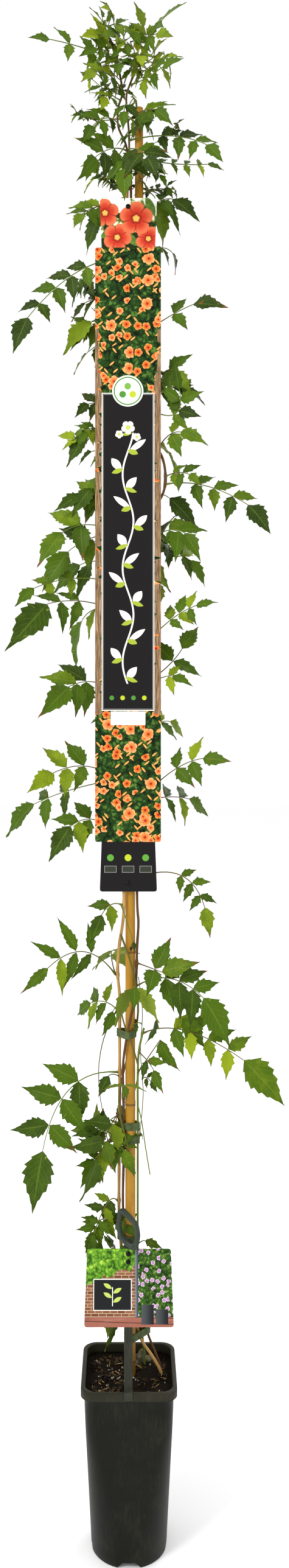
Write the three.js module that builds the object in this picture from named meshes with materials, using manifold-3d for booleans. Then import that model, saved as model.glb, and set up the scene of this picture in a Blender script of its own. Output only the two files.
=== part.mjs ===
// A young trumpet vine tied to a bamboo cane in its nursery pot, with the grower's picture label,
// a hang card and a plastic carrying handle.
// Millimetres, +Z up, -Y to the front. Sizes are given from the middle of the pot, and the finished
// plant is moved so that the origin lies on the floor under the middle of its whole outline.
import * as THREE from "three";
import { mergeVertices } from "three/addons/utils/BufferGeometryUtils.js";
import Module from "manifold-3d";

const wasm = await Module();
wasm.setup();

// ---------------------------------------------------------------- driving dimensions

const CLEARANCE = 0.3; // left between pieces that touch

const POT = {
  height: 260.5,
  rimHalf: 69, // the rim is 138 mm square
  rimCorner: 20,
  lipHeight: 11.5,
  wallHalf: 63.2, // just under the lip
  wallCorner: 18,
  baseRadius: 55, // the foot is round
  footWidth: 9, // the foot is a ring round a raised floor
  wall: 1.8,
  floorAt: 9,
  notchWidth: 33,
  notchHeight: 8.5,
  shoulderAt: 196, // the corners keep their radius above this height
  bendsAt: [70, 140],
  lipStep: 0.4, // the slope under the lip
  flat: 0.5, // half of each short flat side that is left in a round ring
};
const SOIL = {
  top: 245,
  rimDrop: 2,
  mound: 7,
  moundAt: [14, 12],
  moundWidth: 26,
  lump: 1.8,
  lumpWaves: [
    [7, 11],
    [-13, 6],
  ],
  rings: [1, 0.78, 0.5, 0.22],
  holeRoom: 0.35,
  holeSides: 8,
};
const CANE = {
  foot: 26, // its cut lower end, in the soil
  top: 2133,
  footX: 2,
  lean: 13, // how far its upper half bends to the side
  leanFrom: 950,
  leanTo: 2050,
  footRadius: 7.9,
  topRadius: 6.2,
  nodeSwell: 0.7,
  nodeHalf: 6,
  nodes: [270, 464, 652, 878, 1112, 1352, 1590, 1822, 2040],
  sides: 8,
};
const STEM_SIDES = 5;
const STEM_STEP = 42; // length of one straight stretch of a stem
const STRAND = { radius: 0.8, sides: 4, steps: 6 };
const RACHIS = { halfWidth: 1.05, halfHeight: 0.85, joint: 1.6 }; // joint: half a leaflet's seat
const BUD_RADIUS = 2.3;

const BLADE = {
  ribThickness: 1.4, // along the midrib; a blade runs out to an edge at its margin
  halfWidth: 0.27, // of the blade's length
  bareStalk: 0.32, // share of the rachis before its first leaflets
  spread: 63, // degrees between a leaflet and the rachis
  spreadVaries: 9,
  fold: 13, // degrees that each half rises from the midrib
  arch: 0.17, // how far the tip bends down, of the blade's length
  shingle: 9, // degrees that each blade is turned, so neighbours lie over each other
  turnVaries: 9,
  lengthVaries: 0.12,
  hangVaries: 0.22,
};
// Half outlines as [share of the length, share of the half width]: a tooth's point, then the notch
// behind it. A blade takes the first outline whose length it doesn't pass.
const OUTLINES = [
  { upTo: 38, midrib: [0.4], edge: [[0.36, 1.0], [0.55, 0.46]] },
  { upTo: 54, midrib: [0.42], edge: [[0.22, 0.8], [0.31, 0.66], [0.46, 1.0], [0.6, 0.42]] },
  {
    upTo: Infinity,
    midrib: [0.3, 0.58],
    edge: [[0.19, 0.76], [0.27, 0.68], [0.4, 1.0], [0.49, 0.7], [0.62, 0.72], [0.7, 0.36]],
  },
];

const LABEL = {
  thickness: 0.6,
  panelY: -13.9, // back face of the front panel
  backY: -13.0, // back face of the back card
  panelX: -1.4,
  panelWidth: 97,
  panelBottom: 1043,
  panelTop: 1920,
  panelCorner: 3,
  tabX: -0.9,
  tabEndWidth: 84.5,
  tabNeckWidth: 79,
  tabBottom: 969.5,
  tabTop: 1993.5,
  tabCorner: 4,
};
const STUD = { headRadius: 3.6, headHeight: 1.5, shankRadius: 1.5, sides: 8, hole: 1.85 };
const LABEL_STUDS = [
  { name: "label_stud_top", x: -1.4, z: 1981, backY: -10.4 },
  { name: "label_stud_bottom", x: -1.8, z: 982, backY: -7.8 },
];

const STRAP = {
  width: 12.2,
  thickness: 1.7,
  x: -1,
  rimY: -61, // its back face at the pot's rim
  loopY: -22, // its back face at the loop
  loopZ: 446,
  top: 457, // runs up into the loop's band
  innerLeg: 254, // foot of its short leg inside the rim
  hookDrop: 10,
};
const LOOP = {
  depth: 11, // width of the band, front to back
  band: 5, // thickness of the band in the loop's outline
  groove: 0.9,
  grooves: 2,
  edge: 0.7, // the band's softened edges
  turn: -24, // degrees about the upright, so one long side stands nearer the front
  centre: [-1.4, -24, 475],
  outline: [
    [-17, 5],
    [-13.5, -12],
    [-5, -21],
    [7, -27],
    [14.5, -25],
    [18, -7],
    [14, 11],
    [-5, 27],
    [-15, 26],
  ],
};
const CARD = {
  topWidth: 123,
  bottomWidth: 130,
  height: 106,
  thickness: 0.6,
  corner: 4,
  x: 0,
  topZ: 447,
};
const CARD_STUDS_DROP = [7, 18]; // below the card's upper edge
// The slant leaves room for a stem that leans, and corners flatter than the least turn are dropped.
const TIE = { width: 11, thickness: 0.8, room: 0.5, facets: 8, slant: 1.3, leastTurn: 0.5 };
const TIES = [
  { name: "tie_lowest", z: 306, around: ["left", "right", "green"] },
  { name: "tie_behind_loop", z: 452, around: ["left", "right", "green"] },
  { name: "tie_lower_pair", z: 600, around: ["right", "green"] },
  { name: "tie_upper_pair", z: 620, around: ["right", "green"] },
  { name: "tie_upper", z: 757, around: ["left", "right"] },
  { name: "tie_behind_label", z: 1228, around: ["left", "right"] },
];

// ---------------------------------------------------------------- finishes

const finish = (color, roughness) =>
  new THREE.MeshStandardMaterial({ color, roughness, metalness: 0 });
const potPlastic = finish(0x2e312c, 0.5);
const handlePlastic = finish(0x4a524c, 0.45);
const studPlastic = finish(0x161616, 0.5);
const soilMix = finish(0x2b2018, 0.95);
const bamboo = finish(0xc79a4b, 0.55);
const tieTape = finish(0x66735c, 0.7);
const labelCard = finish(0x50702f, 0.5);
const hangCard = finish(0xa8745a, 0.5);
const bark = finish(0x6b4f30, 0.8);
const paleBark = finish(0x9b7b4e, 0.8);
const greenShoot = finish(0x7c8c3a, 0.65);
const leafGreen = finish(0x4e7429, 0.5);

// ---------------------------------------------------------------- helpers

const radians = THREE.MathUtils.degToRad;
const vector = (point) => new THREE.Vector3(...point);

/** A closed geometry as a solid that can be joined and cut. */
function solid(geometry) {
  const bare = geometry.index ? geometry.toNonIndexed() : geometry.clone();
  bare.deleteAttribute("normal");
  bare.deleteAttribute("uv");
  const merged = mergeVertices(bare);
  return new wasm.Manifold(
    new wasm.Mesh({
      numProp: 3,
      vertProperties: merged.attributes.position.array,
      triVerts: new Uint32Array(merged.index.array),
    }),
  );
}

/** A joined or cut solid back as a geometry. */
function geometryOf(body) {
  const mesh = body.getMesh();
  const geometry = new THREE.BufferGeometry();
  geometry.setAttribute("position", new THREE.BufferAttribute(mesh.vertProperties, 3));
  geometry.setIndex(new THREE.BufferAttribute(mesh.triVerts, 1));
  geometry.computeVertexNormals();
  return geometry;
}

const join = (geometries) =>
  geometryOf(geometries.map(solid).reduce((whole, piece) => whole.add(piece)));

/** A closed geometry from a list of vertices and a list of triangles. */
function closedGeometry(vertices, triangles) {
  const geometry = new THREE.BufferGeometry();
  const flat = vertices.flatMap((v) => v.toArray());
  geometry.setAttribute("position", new THREE.Float32BufferAttribute(flat, 3));
  geometry.setIndex(triangles.flat());
  return geometry;
}

/** Points of a circle in the shape's plane. */
function circlePoints(radius, sides, x = 0, y = 0) {
  return Array.from({ length: sides }, (_, i) => {
    const angle = (2 * Math.PI * i) / sides;
    return new THREE.Vector2(x + radius * Math.cos(angle), y + radius * Math.sin(angle));
  });
}

/** A round tube of few sides along a path. */
function tube(path, radius, sides, steps) {
  const section = new THREE.Shape(circlePoints(radius, sides));
  return new THREE.ExtrudeGeometry(section, { steps, extrudePath: path });
}

/** A flat plate that stands upright: the shape's y is up, its back face is at backY. */
function uprightPlate(shape, thickness, backY) {
  const plate = new THREE.ExtrudeGeometry(shape, {
    depth: thickness,
    bevelEnabled: false,
    curveSegments: 3,
  });
  return plate.rotateX(Math.PI / 2).translate(0, backY, 0);
}

/** A shape with its corners rounded, from corner points in order. */
function roundedShape(corners, radius) {
  const shape = new THREE.Shape();
  corners.forEach((corner, i) => {
    const before = corners[(i + corners.length - 1) % corners.length];
    const after = corners[(i + 1) % corners.length];
    const from = corner.clone().add(before.clone().sub(corner).setLength(radius));
    const to = corner.clone().add(after.clone().sub(corner).setLength(radius));
    if (i === 0) shape.moveTo(from.x, from.y);
    else shape.lineTo(from.x, from.y);
    shape.quadraticCurveTo(corner.x, corner.y, to.x, to.y);
  });
  shape.closePath();
  return shape;
}

const hole = (x, y, radius, sides) =>
  new THREE.Path(circlePoints(radius, sides, x, y).reverse());

/** A pin along Y: a round head in front, a shank behind it. */
function stud(x, z, headBackY, shankBackY, headHeight) {
  const head = new THREE.CylinderGeometry(STUD.headRadius, STUD.headRadius, headHeight, STUD.sides);
  head.translate(x, headBackY - headHeight / 2, z);
  const sunk = headHeight / 2;
  const length = shankBackY - headBackY + sunk;
  const shank = new THREE.CylinderGeometry(STUD.shankRadius, STUD.shankRadius, length, STUD.sides);
  shank.translate(x, shankBackY - length / 2, z);
  return join([head, shank]);
}

/** A repeatable draw between 0 and 1. */
function draw(seed, index, kind) {
  const wave = Math.sin(seed * 127.1 + index * 311.7 + kind * 74.7) * 43758.5453;
  return wave - Math.floor(wave);
}

const vary = (seed, index, kind) => 2 * draw(seed, index, kind) - 1;

// ---------------------------------------------------------------- pot and soil

const RING_ARC = 4; // points on each of a ring's four corners

/** One level ring of a rounded square: half its width and its corner radius. */
function ring(half, corner, z) {
  const points = [];
  for (let quarter = 0; quarter < 4; quarter += 1) {
    for (let i = 0; i < RING_ARC; i += 1) {
      const angle = (Math.PI / 2) * (quarter + i / (RING_ARC - 1));
      const middle = Math.PI / 4 + (Math.PI / 2) * quarter;
      const reach = (half - corner) * Math.SQRT2;
      const x = reach * Math.cos(middle) + corner * Math.cos(angle);
      const y = reach * Math.sin(middle) + corner * Math.sin(angle);
      points.push(new THREE.Vector3(x, y, z));
    }
  }
  return points;
}

/** A closed skin over rings from the lowest to the highest, with flat ends. */
function loft(rings) {
  const count = rings[0].length;
  const vertices = rings.flat();
  const triangles = [];
  for (let r = 0; r + 1 < rings.length; r += 1) {
    for (let i = 0; i < count; i += 1) {
      const a = r * count + i;
      const b = r * count + ((i + 1) % count);
      triangles.push([a, b, b + count], [a, b + count, a + count]);
    }
  }
  const last = (rings.length - 1) * count;
  for (let i = 1; i + 1 < count; i += 1) {
    triangles.push([0, i + 1, i], [last, last + i, last + i + 1]);
  }
  return closedGeometry(vertices, triangles);
}

/** Half width and corner radius of the pot's outer wall at a height. */
function potWall(z) {
  const wallTop = POT.height - POT.lipHeight;
  const half = THREE.MathUtils.lerp(POT.baseRadius, POT.wallHalf, z / wallTop);
  const turned = THREE.MathUtils.clamp(z / POT.shoulderAt, 0, 1);
  return { half, corner: THREE.MathUtils.lerp(half - POT.flat, POT.wallCorner, turned) };
}

function wallRing(z, inset) {
  const { half, corner } = potWall(z);
  return ring(half - inset, corner - inset, z);
}

/** The pot: a wall that turns from a round foot to a square lip, with notches to drain it. */
function pot() {
  const lipFrom = POT.height - POT.lipHeight;
  const past = POT.wall; // how far a cut runs out of the pot
  const outer = [0, ...POT.bendsAt, POT.shoulderAt, lipFrom].map((z) => wallRing(z, 0));
  const lip = [lipFrom + POT.lipStep, POT.height].map((z) => ring(POT.rimHalf, POT.rimCorner, z));
  const inner = [POT.floorAt, ...POT.bendsAt, POT.shoulderAt, lipFrom].map((z) => wallRing(z, POT.wall));
  const mouth = ring(POT.wallHalf - POT.wall, POT.wallCorner, POT.height + past);
  const footInside = POT.baseRadius - POT.footWidth;
  const recess = [-past, POT.floorAt - POT.wall].map((z) => ring(footInside, footInside - POT.flat, z));
  const across = 2 * (POT.baseRadius + POT.footWidth);
  const notch = new THREE.BoxGeometry(across, POT.notchWidth, 2 * POT.notchHeight);
  const cuts = [loft([...inner, mouth]), loft(recess), notch, notch.clone().rotateZ(Math.PI / 2)];
  const body = solid(loft([...outer, ...lip]));
  return geometryOf(cuts.map(solid).reduce((left, cut) => left.subtract(cut), body));
}

/** Height of the soil's surface: a low mound beside the cane, with lumps. */
function soilHeight(x, y) {
  const away = Math.hypot(x - SOIL.moundAt[0], y - SOIL.moundAt[1]);
  const mound = SOIL.mound * Math.exp(-((away / SOIL.moundWidth) ** 2));
  const lumps = SOIL.lumpWaves.map(([alongX, alongY]) => Math.sin(x / alongX + y / alongY));
  return SOIL.top + mound + SOIL.lump * (lumps[0] + lumps[1]);
}

/** The potting soil, with a plain hole for the cane and for each rooted stem. */
function soil() {
  const inset = POT.wall + CLEARANCE;
  const levels = [POT.floorAt + CLEARANCE, ...POT.bendsAt, POT.shoulderAt];
  const side = levels.map((z) => wallRing(z, inset));
  const rim = wallRing(SOIL.top - SOIL.rimDrop, inset);
  const onSurface = (x, y) => new THREE.Vector3(x, y, soilHeight(x, y));
  const surface = SOIL.rings.map((share) => rim.map((p) => onSurface(p.x * share, p.y * share)));
  const holes = Object.values(STEMS).map(({ path, radius, steps }) =>
    tube(path, radius + SOIL.holeRoom, SOIL.holeSides, steps),
  );
  const cuts = [...holes, caneGeometry(SOIL.holeRoom)].map(solid);
  return geometryOf(cuts.reduce((left, cut) => left.subtract(cut), solid(loft([...side, ...surface]))));
}

// ---------------------------------------------------------------- cane

/** Sideways place of the cane's axis at a height. */
function caneX(z) {
  return CANE.footX + CANE.lean * THREE.MathUtils.smoothstep(z, CANE.leanFrom, CANE.leanTo);
}

function caneRadius(z) {
  return THREE.MathUtils.mapLinear(z, CANE.foot, CANE.top, CANE.footRadius, CANE.topRadius);
}

/** The cane, or with room added the hole that it stands in. */
function caneGeometry(room = 0) {
  const swell = CANE.nodeSwell;
  const profile = [new THREE.Vector2(0, CANE.foot - room)];
  profile.push(new THREE.Vector2(caneRadius(CANE.foot) + room, CANE.foot - room));
  for (const z of CANE.nodes) {
    profile.push(new THREE.Vector2(caneRadius(z) + room, z - CANE.nodeHalf));
    profile.push(new THREE.Vector2(caneRadius(z) + swell + room, z));
    profile.push(new THREE.Vector2(caneRadius(z) + room, z + CANE.nodeHalf));
  }
  profile.push(new THREE.Vector2(caneRadius(CANE.top) + room, CANE.top));
  profile.push(new THREE.Vector2(0, CANE.top));
  const cane = new THREE.LatheGeometry(profile, CANE.sides).rotateX(Math.PI / 2);
  const place = cane.attributes.position;
  for (let i = 0; i < place.count; i += 1) {
    place.setX(i, place.getX(i) + caneX(place.getZ(i)));
  }
  return cane;
}

// ---------------------------------------------------------------- stems

/** A stem from its route, and the corners where its straight stretches meet. */
function stem(route, radius, material) {
  const path = new THREE.CatmullRomCurve3(route.map(vector), false, "catmullrom", 0.5);
  const steps = Math.round(path.getLength() / STEM_STEP);
  return { path, radius, material, steps, corners: path.getSpacedPoints(steps) };
}

const STEMS = {
  left: stem(
    [
      [50, 8, 214],
      [49, 7, 245],
      [36, 8, 270],
      [18, 11, 296],
      [8, 15, 328],
      [-2, 16, 367],
      [-9, 14, 404],
      [-13, 11, 455],
      [-15, 8, 497],
      [-14, 8, 643],
      [-14, 6, 740],
      [-14, 1, 809],
      [-17, -3, 850],
      [-14, -5, 891],
      [-8, -8, 935],
      [-8, -9, 1000],
      [-13, -8, 1207],
      [-11, -8, 1478],
      [-13, -8, 1748],
      [-8, -7, 1900],
      [-3, -5, 2000],
      [-2, -4, 2052],
    ],
    2.3,
    paleBark,
  ),
  right: stem(
    [
      [52, 17, 216],
      [47, 17, 251],
      [38, 19, 275],
      [28, 21, 300],
      [19, 22, 336],
      [8, 21, 375],
      [-1, 17, 412],
      [-6, 9, 455],
      [-9, 1, 505],
      [-8, -2, 573],
      [-8, -3, 646],
      [-9, -5, 706],
      [-5, -10, 743],
      [2, -13, 781],
      [9, -10, 811],
      [11, -6, 846],
      [12, -4, 886],
      [14, -4, 922],
      [12, -7, 960],
      [10, -9, 1117],
      [11, -9, 1253],
      [12, -9, 1388],
      [13, -9, 1505],
      [28, -9, 1532],
      [48, -9, 1553],
      [54, -9, 1580],
      [49, -9, 1612],
      [30, -9, 1640],
      [13, -9, 1666],
      [9, -9, 1784],
      [4, -9, 1901],
      [3, -9, 1992],
      [3, -9, 2052],
    ],
    1.9,
    bark,
  ),
  green: stem(
    [
      [24, 26, 222],
      [23, 24, 262],
      [20, 19, 300],
      [15, 12, 365],
      [13, 6, 430],
      [13, 2, 482],
      [13, -2, 565],
      [13, -4, 640],
      [13, -6, 700],
      [15, -9, 735],
      [22, -14, 768],
    ],
    1.3,
    greenShoot,
  ),
};

/** The middle of a stem where it reaches a height. */
function stemAt(name, z) {
  const { corners } = STEMS[name];
  const i = corners.findIndex((corner) => corner.z > z);
  const [below, above] = [corners[i - 1], corners[i]];
  return below.clone().lerp(above, (z - below.z) / (above.z - below.z));
}

/** The middle of a stem at a share of its length. */
function stemPoint({ corners }, share) {
  const place = share * (corners.length - 1);
  const i = Math.min(Math.floor(place), corners.length - 2);
  return corners[i].clone().lerp(corners[i + 1], place - i);
}

// ---------------------------------------------------------------- leaves

/** The vertices and triangles of one closed surface, gathered piece by piece. */
class Skin {
  vertices = [];
  triangles = [];

  add(point) {
    this.vertices.push(point);
    return this.vertices.length - 1;
  }

  quad(a, b, c, d) {
    this.triangles.push([a, b, c], [a, c, d]);
  }

  /** Fills between an edge and a midrib that both run to the tip, turned over if asked. */
  stitch(edge, rib, shares, over) {
    let e = 0;
    let r = 0;
    while (e + 1 < edge.length || r + 1 < rib.length) {
      const nextEdge = e + 1 < edge.length ? shares.edge[e + 1] : Infinity;
      const nextRib = r + 1 < rib.length ? shares.rib[r + 1] : Infinity;
      const alongEdge = nextEdge <= nextRib;
      const corner = alongEdge ? edge[e + 1] : rib[r + 1];
      if (edge[e] !== corner && rib[r] !== corner) {
        this.triangles.push(over ? [corner, edge[e], rib[r]] : [edge[e], corner, rib[r]]);
      }
      if (alongEdge) e += 1;
      else r += 1;
    }
  }

  geometry() {
    return closedGeometry(this.vertices, this.triangles);
  }
}

/**
 * One toothed leaflet on two seats of a rachis, near and far, each an upper and a lower vertex.
 * Its halves fold up from the midrib and its tip bends down.
 */
function addLeaflet(skin, { near, far, base, along, up, length, slim }) {
  const { midrib, edge } = OUTLINES.find(({ upTo }) => length <= upTo);
  const across = along.clone().cross(up);
  const fold = radians(BLADE.fold);
  const half = length * BLADE.halfWidth * slim;
  const place = (share, width, layer) => {
    const lift = Math.abs(width) * half * Math.sin(fold) - BLADE.arch * length * share * share;
    const point = base.clone().addScaledVector(along, share * length);
    point.addScaledVector(across, width * half * Math.cos(fold));
    return skin.add(point.addScaledVector(up, lift + (layer * BLADE.ribThickness) / 2));
  };
  const tip = place(1, 0, 0);
  const shares = { edge: [0, ...edge.map(([share]) => share), 1], rib: [...midrib, 1] };
  const teeth = (side) => edge.map(([share, width]) => place(share, side * width, 0));
  const farTeeth = teeth(1);
  const nearTeeth = teeth(-1);
  for (const layer of [0, 1]) {
    const rib = [...midrib.map((share) => place(share, 0, 1 - 2 * layer)), tip];
    const under = layer === 1;
    skin.stitch([far[layer], ...farTeeth, tip], rib, shares, under);
    skin.stitch([near[layer], ...nearTeeth, tip], rib, shares, !under);
    skin.triangles.push(under ? [far[1], near[1], rib[0]] : [near[0], far[0], rib[0]]);
  }
  skin.triangles.push([far[1], farTeeth[0], far[0]], [near[0], nearTeeth[0], near[1]]);
}

/** The directions of a rachis at a point of its path. */
function rachisFrame(path, share, front) {
  const ends = path.getPoint(1).sub(path.getPoint(0));
  const roll = front * Math.sign(ends.x);
  const level = new THREE.Vector3(-ends.y, ends.x, 0).normalize();
  const along = path.getTangent(share);
  const side = level.addScaledVector(along, -level.dot(along)).normalize();
  side.applyAxisAngle(along, radians(roll));
  return { along, side, up: along.clone().cross(side) };
}

/** Where a leaflet points and how long it is, with its own small variations. */
function leafletPose(leaf, frame, side, index) {
  const { pairs, seed, hang, end } = leaf;
  const spread = radians(BLADE.spread + BLADE.spreadVaries * vary(seed, index, 1)) * Math.abs(side);
  const along = frame.along.clone().multiplyScalar(Math.cos(spread));
  along.addScaledVector(frame.side, side * Math.sin(spread));
  along.z -= hang * (1 + BLADE.hangVaries * vary(seed, index, 2));
  along.normalize();
  const up = frame.up.clone().addScaledVector(along, -frame.up.dot(along)).normalize();
  up.applyAxisAngle(along, radians(side * BLADE.shingle + BLADE.turnVaries * vary(seed, index, 3)));
  const rank = Math.floor(index / 2);
  const grown = side === 0 ? end : 0.84 + 0.2 * Math.sin((Math.PI * (rank + 0.6)) / (pairs + 0.4));
  const length = leaf.blade * grown * (1 + BLADE.lengthVaries * vary(seed, index, 4));
  return { along, up, length, slim: leaf.slim };
}

/** A compound leaf in one skin: a square rachis with pairs of leaflets and one at its end. */
function frond(leaf, root) {
  const path = new THREE.QuadraticBezierCurve3(root, vector(leaf.bend), vector(leaf.tip));
  const joint = RACHIS.joint / path.getLength();
  const nodes = Array.from({ length: leaf.pairs }, (_, i) => {
    return leaf.bare + ((1 - leaf.bare) * (i + 0.3)) / (leaf.pairs + 0.05);
  });
  const first = leaf.pairs > 0 ? nodes[0] : 1;
  const stations = [0, first / 2, ...nodes.flatMap((n) => [n - joint, n + joint]), 1];
  const skin = new Skin();
  const rings = stations.map((share) => {
    const centre = path.getPoint(share);
    const { side, up } = rachisFrame(path, share, leaf.front);
    const corner = (s, u) => {
      const point = centre.clone().addScaledVector(side, s * RACHIS.halfWidth);
      return skin.add(point.addScaledVector(up, u * RACHIS.halfHeight));
    };
    return { left: [corner(1, 1), corner(1, -1)], right: [corner(-1, 1), corner(-1, -1)] };
  });
  const grow = (share, side, index, near, far) => {
    const pose = leafletPose(leaf, rachisFrame(path, share, leaf.front), side, index);
    const base = new THREE.Vector3();
    [...near, ...far].forEach((v) => base.addScaledVector(skin.vertices[v], 1 / 4));
    addLeaflet(skin, { near, far, base, ...pose });
  };
  skin.quad(rings[0].left[0], rings[0].left[1], rings[0].right[1], rings[0].right[0]);
  for (let j = 0; j + 1 < rings.length; j += 1) {
    const [a, b] = [rings[j], rings[j + 1]];
    skin.quad(a.right[0], b.right[0], b.left[0], a.left[0]);
    skin.quad(a.left[1], b.left[1], b.right[1], a.right[1]);
    const pair = (j - 2) / 2;
    if (j >= 2 && Number.isInteger(pair) && pair < leaf.pairs) {
      grow(nodes[pair], 1, 2 * pair, a.left, b.left);
      grow(nodes[pair], -1, 2 * pair + 1, b.right, a.right);
    } else {
      skin.quad(a.left[0], b.left[0], b.left[1], a.left[1]);
      skin.quad(a.right[1], b.right[1], b.right[0], a.right[0]);
    }
  }
  const last = rings.at(-1);
  grow(1, 0, 2 * leaf.pairs, last.left, last.right);
  return skin.geometry();
}

/** Compound leaves that spring from one bud beside a stem. */
function spray({ on, at, leaves }) {
  const axis = stemAt(on, at);
  const away = vector(leaves[0].bend).sub(axis).setZ(0).normalize();
  const reach = leaves.length > 1 ? BUD_RADIUS : RACHIS.halfHeight / 2;
  const root = axis.addScaledVector(away, STEMS[on].radius + CLEARANCE + reach);
  if (leaves.length === 1) return frond(leaves[0], root);
  const bud = new THREE.OctahedronGeometry(BUD_RADIUS, 0);
  bud.rotateZ(Math.atan2(away.y, away.x)).translate(root.x, root.y, root.z);
  return join([bud, ...leaves.map((leaf) => frond(leaf, root))]);
}

// ---------------------------------------------------------------- label, card, handle and ties

function labelPanel() {
  const left = LABEL.panelX - LABEL.panelWidth / 2;
  const right = left + LABEL.panelWidth;
  const corners = [
    [left, LABEL.panelBottom],
    [right, LABEL.panelBottom],
    [right, LABEL.panelTop],
    [left, LABEL.panelTop],
  ].map((corner) => new THREE.Vector2(...corner));
  const shape = roundedShape(corners, LABEL.panelCorner);
  return uprightPlate(shape, LABEL.thickness, LABEL.panelY);
}

/** The card behind the panel, with a flared tab above it and one below. */
function labelBack() {
  const end = LABEL.tabEndWidth / 2;
  const neck = LABEL.tabNeckWidth / 2;
  const rightSide = [
    [end, LABEL.tabBottom],
    [neck, LABEL.panelBottom],
    [neck, LABEL.panelTop],
    [end, LABEL.tabTop],
  ];
  const leftSide = rightSide.map(([x, z]) => [-x, z]).reverse();
  const corners = [...rightSide, ...leftSide].map(([x, z]) => new THREE.Vector2(LABEL.tabX + x, z));
  const shape = roundedShape(corners, LABEL.tabCorner);
  shape.holes = LABEL_STUDS.map(({ x, z }) => hole(x, z, STUD.hole, STUD.sides));
  return uprightPlate(shape, LABEL.thickness, LABEL.backY);
}

function labelStud({ x, z, backY }) {
  const headBack = LABEL.backY - LABEL.thickness - CLEARANCE;
  return stud(x, z, headBack, backY, STUD.headHeight);
}

/** Where the strap's front face stands at a height: it leans back from the rim to the loop. */
function strapFrontY(z) {
  return THREE.MathUtils.mapLinear(z, POT.height + 2, STRAP.loopZ, STRAP.rimY, STRAP.loopY) - STRAP.thickness;
}

function strap() {
  const { thickness } = STRAP;
  const inner = -(POT.wallHalf - POT.wall) + CLEARANCE;
  const outer = -POT.rimHalf - CLEARANCE;
  const under = POT.height + CLEARANCE;
  const over = under + thickness;
  const profile = new THREE.Shape(
    [
      [inner + thickness, STRAP.innerLeg],
      [inner, STRAP.innerLeg],
      [inner, under],
      [outer, under],
      [outer, under - STRAP.hookDrop],
      [outer - thickness, under - STRAP.hookDrop],
      [outer - thickness, over],
      [strapFrontY(over), over],
      [strapFrontY(STRAP.top), STRAP.top],
      [strapFrontY(STRAP.top) + thickness, STRAP.top],
      [inner + thickness, over],
    ].map((point) => new THREE.Vector2(...point)),
  );
  const side = new THREE.ExtrudeGeometry(profile, { depth: STRAP.width, bevelEnabled: false });
  const turn = new THREE.Matrix4().makeBasis(
    new THREE.Vector3(0, 1, 0),
    new THREE.Vector3(0, 0, 1),
    new THREE.Vector3(1, 0, 0),
  );
  return side.applyMatrix4(turn).translate(STRAP.x - STRAP.width / 2, 0, 0);
}

/** A polygon's points moved in by a distance, square to its sides. */
function inset(points, distance) {
  return points.map((point, i) => {
    const before = points[(i + points.length - 1) % points.length];
    const after = points[(i + 1) % points.length];
    const first = point.clone().sub(before).normalize();
    const second = after.clone().sub(point).normalize();
    const normal = new THREE.Vector2(-first.y - second.y, first.x + second.x).normalize();
    const sharpness = Math.sqrt((1 + first.dot(second)) / 2);
    return point.clone().addScaledVector(normal, distance / sharpness);
  });
}

/** Stands a piece of the hand loop upright in its place. */
function onLoop(geometry) {
  return geometry
    .rotateX(Math.PI / 2)
    .rotateZ(radians(LOOP.turn))
    .translate(...LOOP.centre);
}

/** The strap and, grown on its end, a hand loop with grooves along its outside. */
function carryHandle() {
  const outer = LOOP.outline.map((point) => new THREE.Vector2(...point));
  const level = (points, depth) => points.map((p) => new THREE.Vector3(p.x, p.y, depth));
  const half = LOOP.depth / 2;
  const grooved = inset(outer, LOOP.groove);
  const softened = inset(outer, LOOP.groove / 2);
  const rib = (LOOP.depth - 2 * LOOP.edge) / (LOOP.grooves + 1);
  const rings = [level(softened, -half)];
  for (let i = 0; i <= LOOP.grooves; i += 1) {
    const from = -half + LOOP.edge + i * rib;
    rings.push(level(outer, from + LOOP.edge), level(outer, from + rib - LOOP.edge));
    if (i < LOOP.grooves) rings.push(level(grooved, from + rib));
  }
  rings.push(level(softened, half));
  const core = inset(outer, LOOP.band);
  const opening = onLoop(loft([level(core, -LOOP.depth), level(core, LOOP.depth)]));
  return geometryOf(solid(onLoop(loft(rings))).add(solid(strap())).subtract(solid(opening)));
}

/** Seats a piece that was made upright, with its back at y = 0, on the leaning strap. */
function onStrap(geometry) {
  const lean = Math.atan2(STRAP.loopY - STRAP.rimY, STRAP.loopZ - POT.height - 2);
  return geometry.rotateX(-lean).translate(CARD.x, strapFrontY(CARD.topZ), CARD.topZ);
}

function hangCardPlate() {
  const corners = [
    [-CARD.bottomWidth / 2, -CARD.height],
    [CARD.bottomWidth / 2, -CARD.height],
    [CARD.topWidth / 2, 0],
    [-CARD.topWidth / 2, 0],
  ].map((corner) => new THREE.Vector2(...corner));
  const shape = roundedShape(corners, CARD.corner);
  shape.holes = CARD_STUDS_DROP.map((drop) => hole(STRAP.x, -drop, STUD.hole, STUD.sides));
  return onStrap(uprightPlate(shape, CARD.thickness, -CLEARANCE));
}

function cardStud(drop) {
  const headBack = -2 * CLEARANCE - CARD.thickness;
  return onStrap(stud(STRAP.x, -drop, headBack, -CLEARANCE, STUD.headHeight));
}

/** The outline that a tape pulled tight round some circles follows. */
function tightOutline(circles, extra) {
  const points = circles
    .flatMap(({ x, y, radius }) => circlePoints(radius + extra, TIE.facets, x, y))
    .sort((a, b) => a.x - b.x || a.y - b.y);
  const turn = (a, b, c) => (b.x - a.x) * (c.y - a.y) - (b.y - a.y) * (c.x - a.x);
  const halfOf = (list) => {
    const chain = [];
    for (const point of list) {
      while (chain.length > 1 && turn(chain.at(-2), chain.at(-1), point) <= TIE.leastTurn) chain.pop();
      chain.push(point);
    }
    return chain.slice(0, -1);
  };
  return [...halfOf(points), ...halfOf([...points].reverse())];
}

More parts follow.
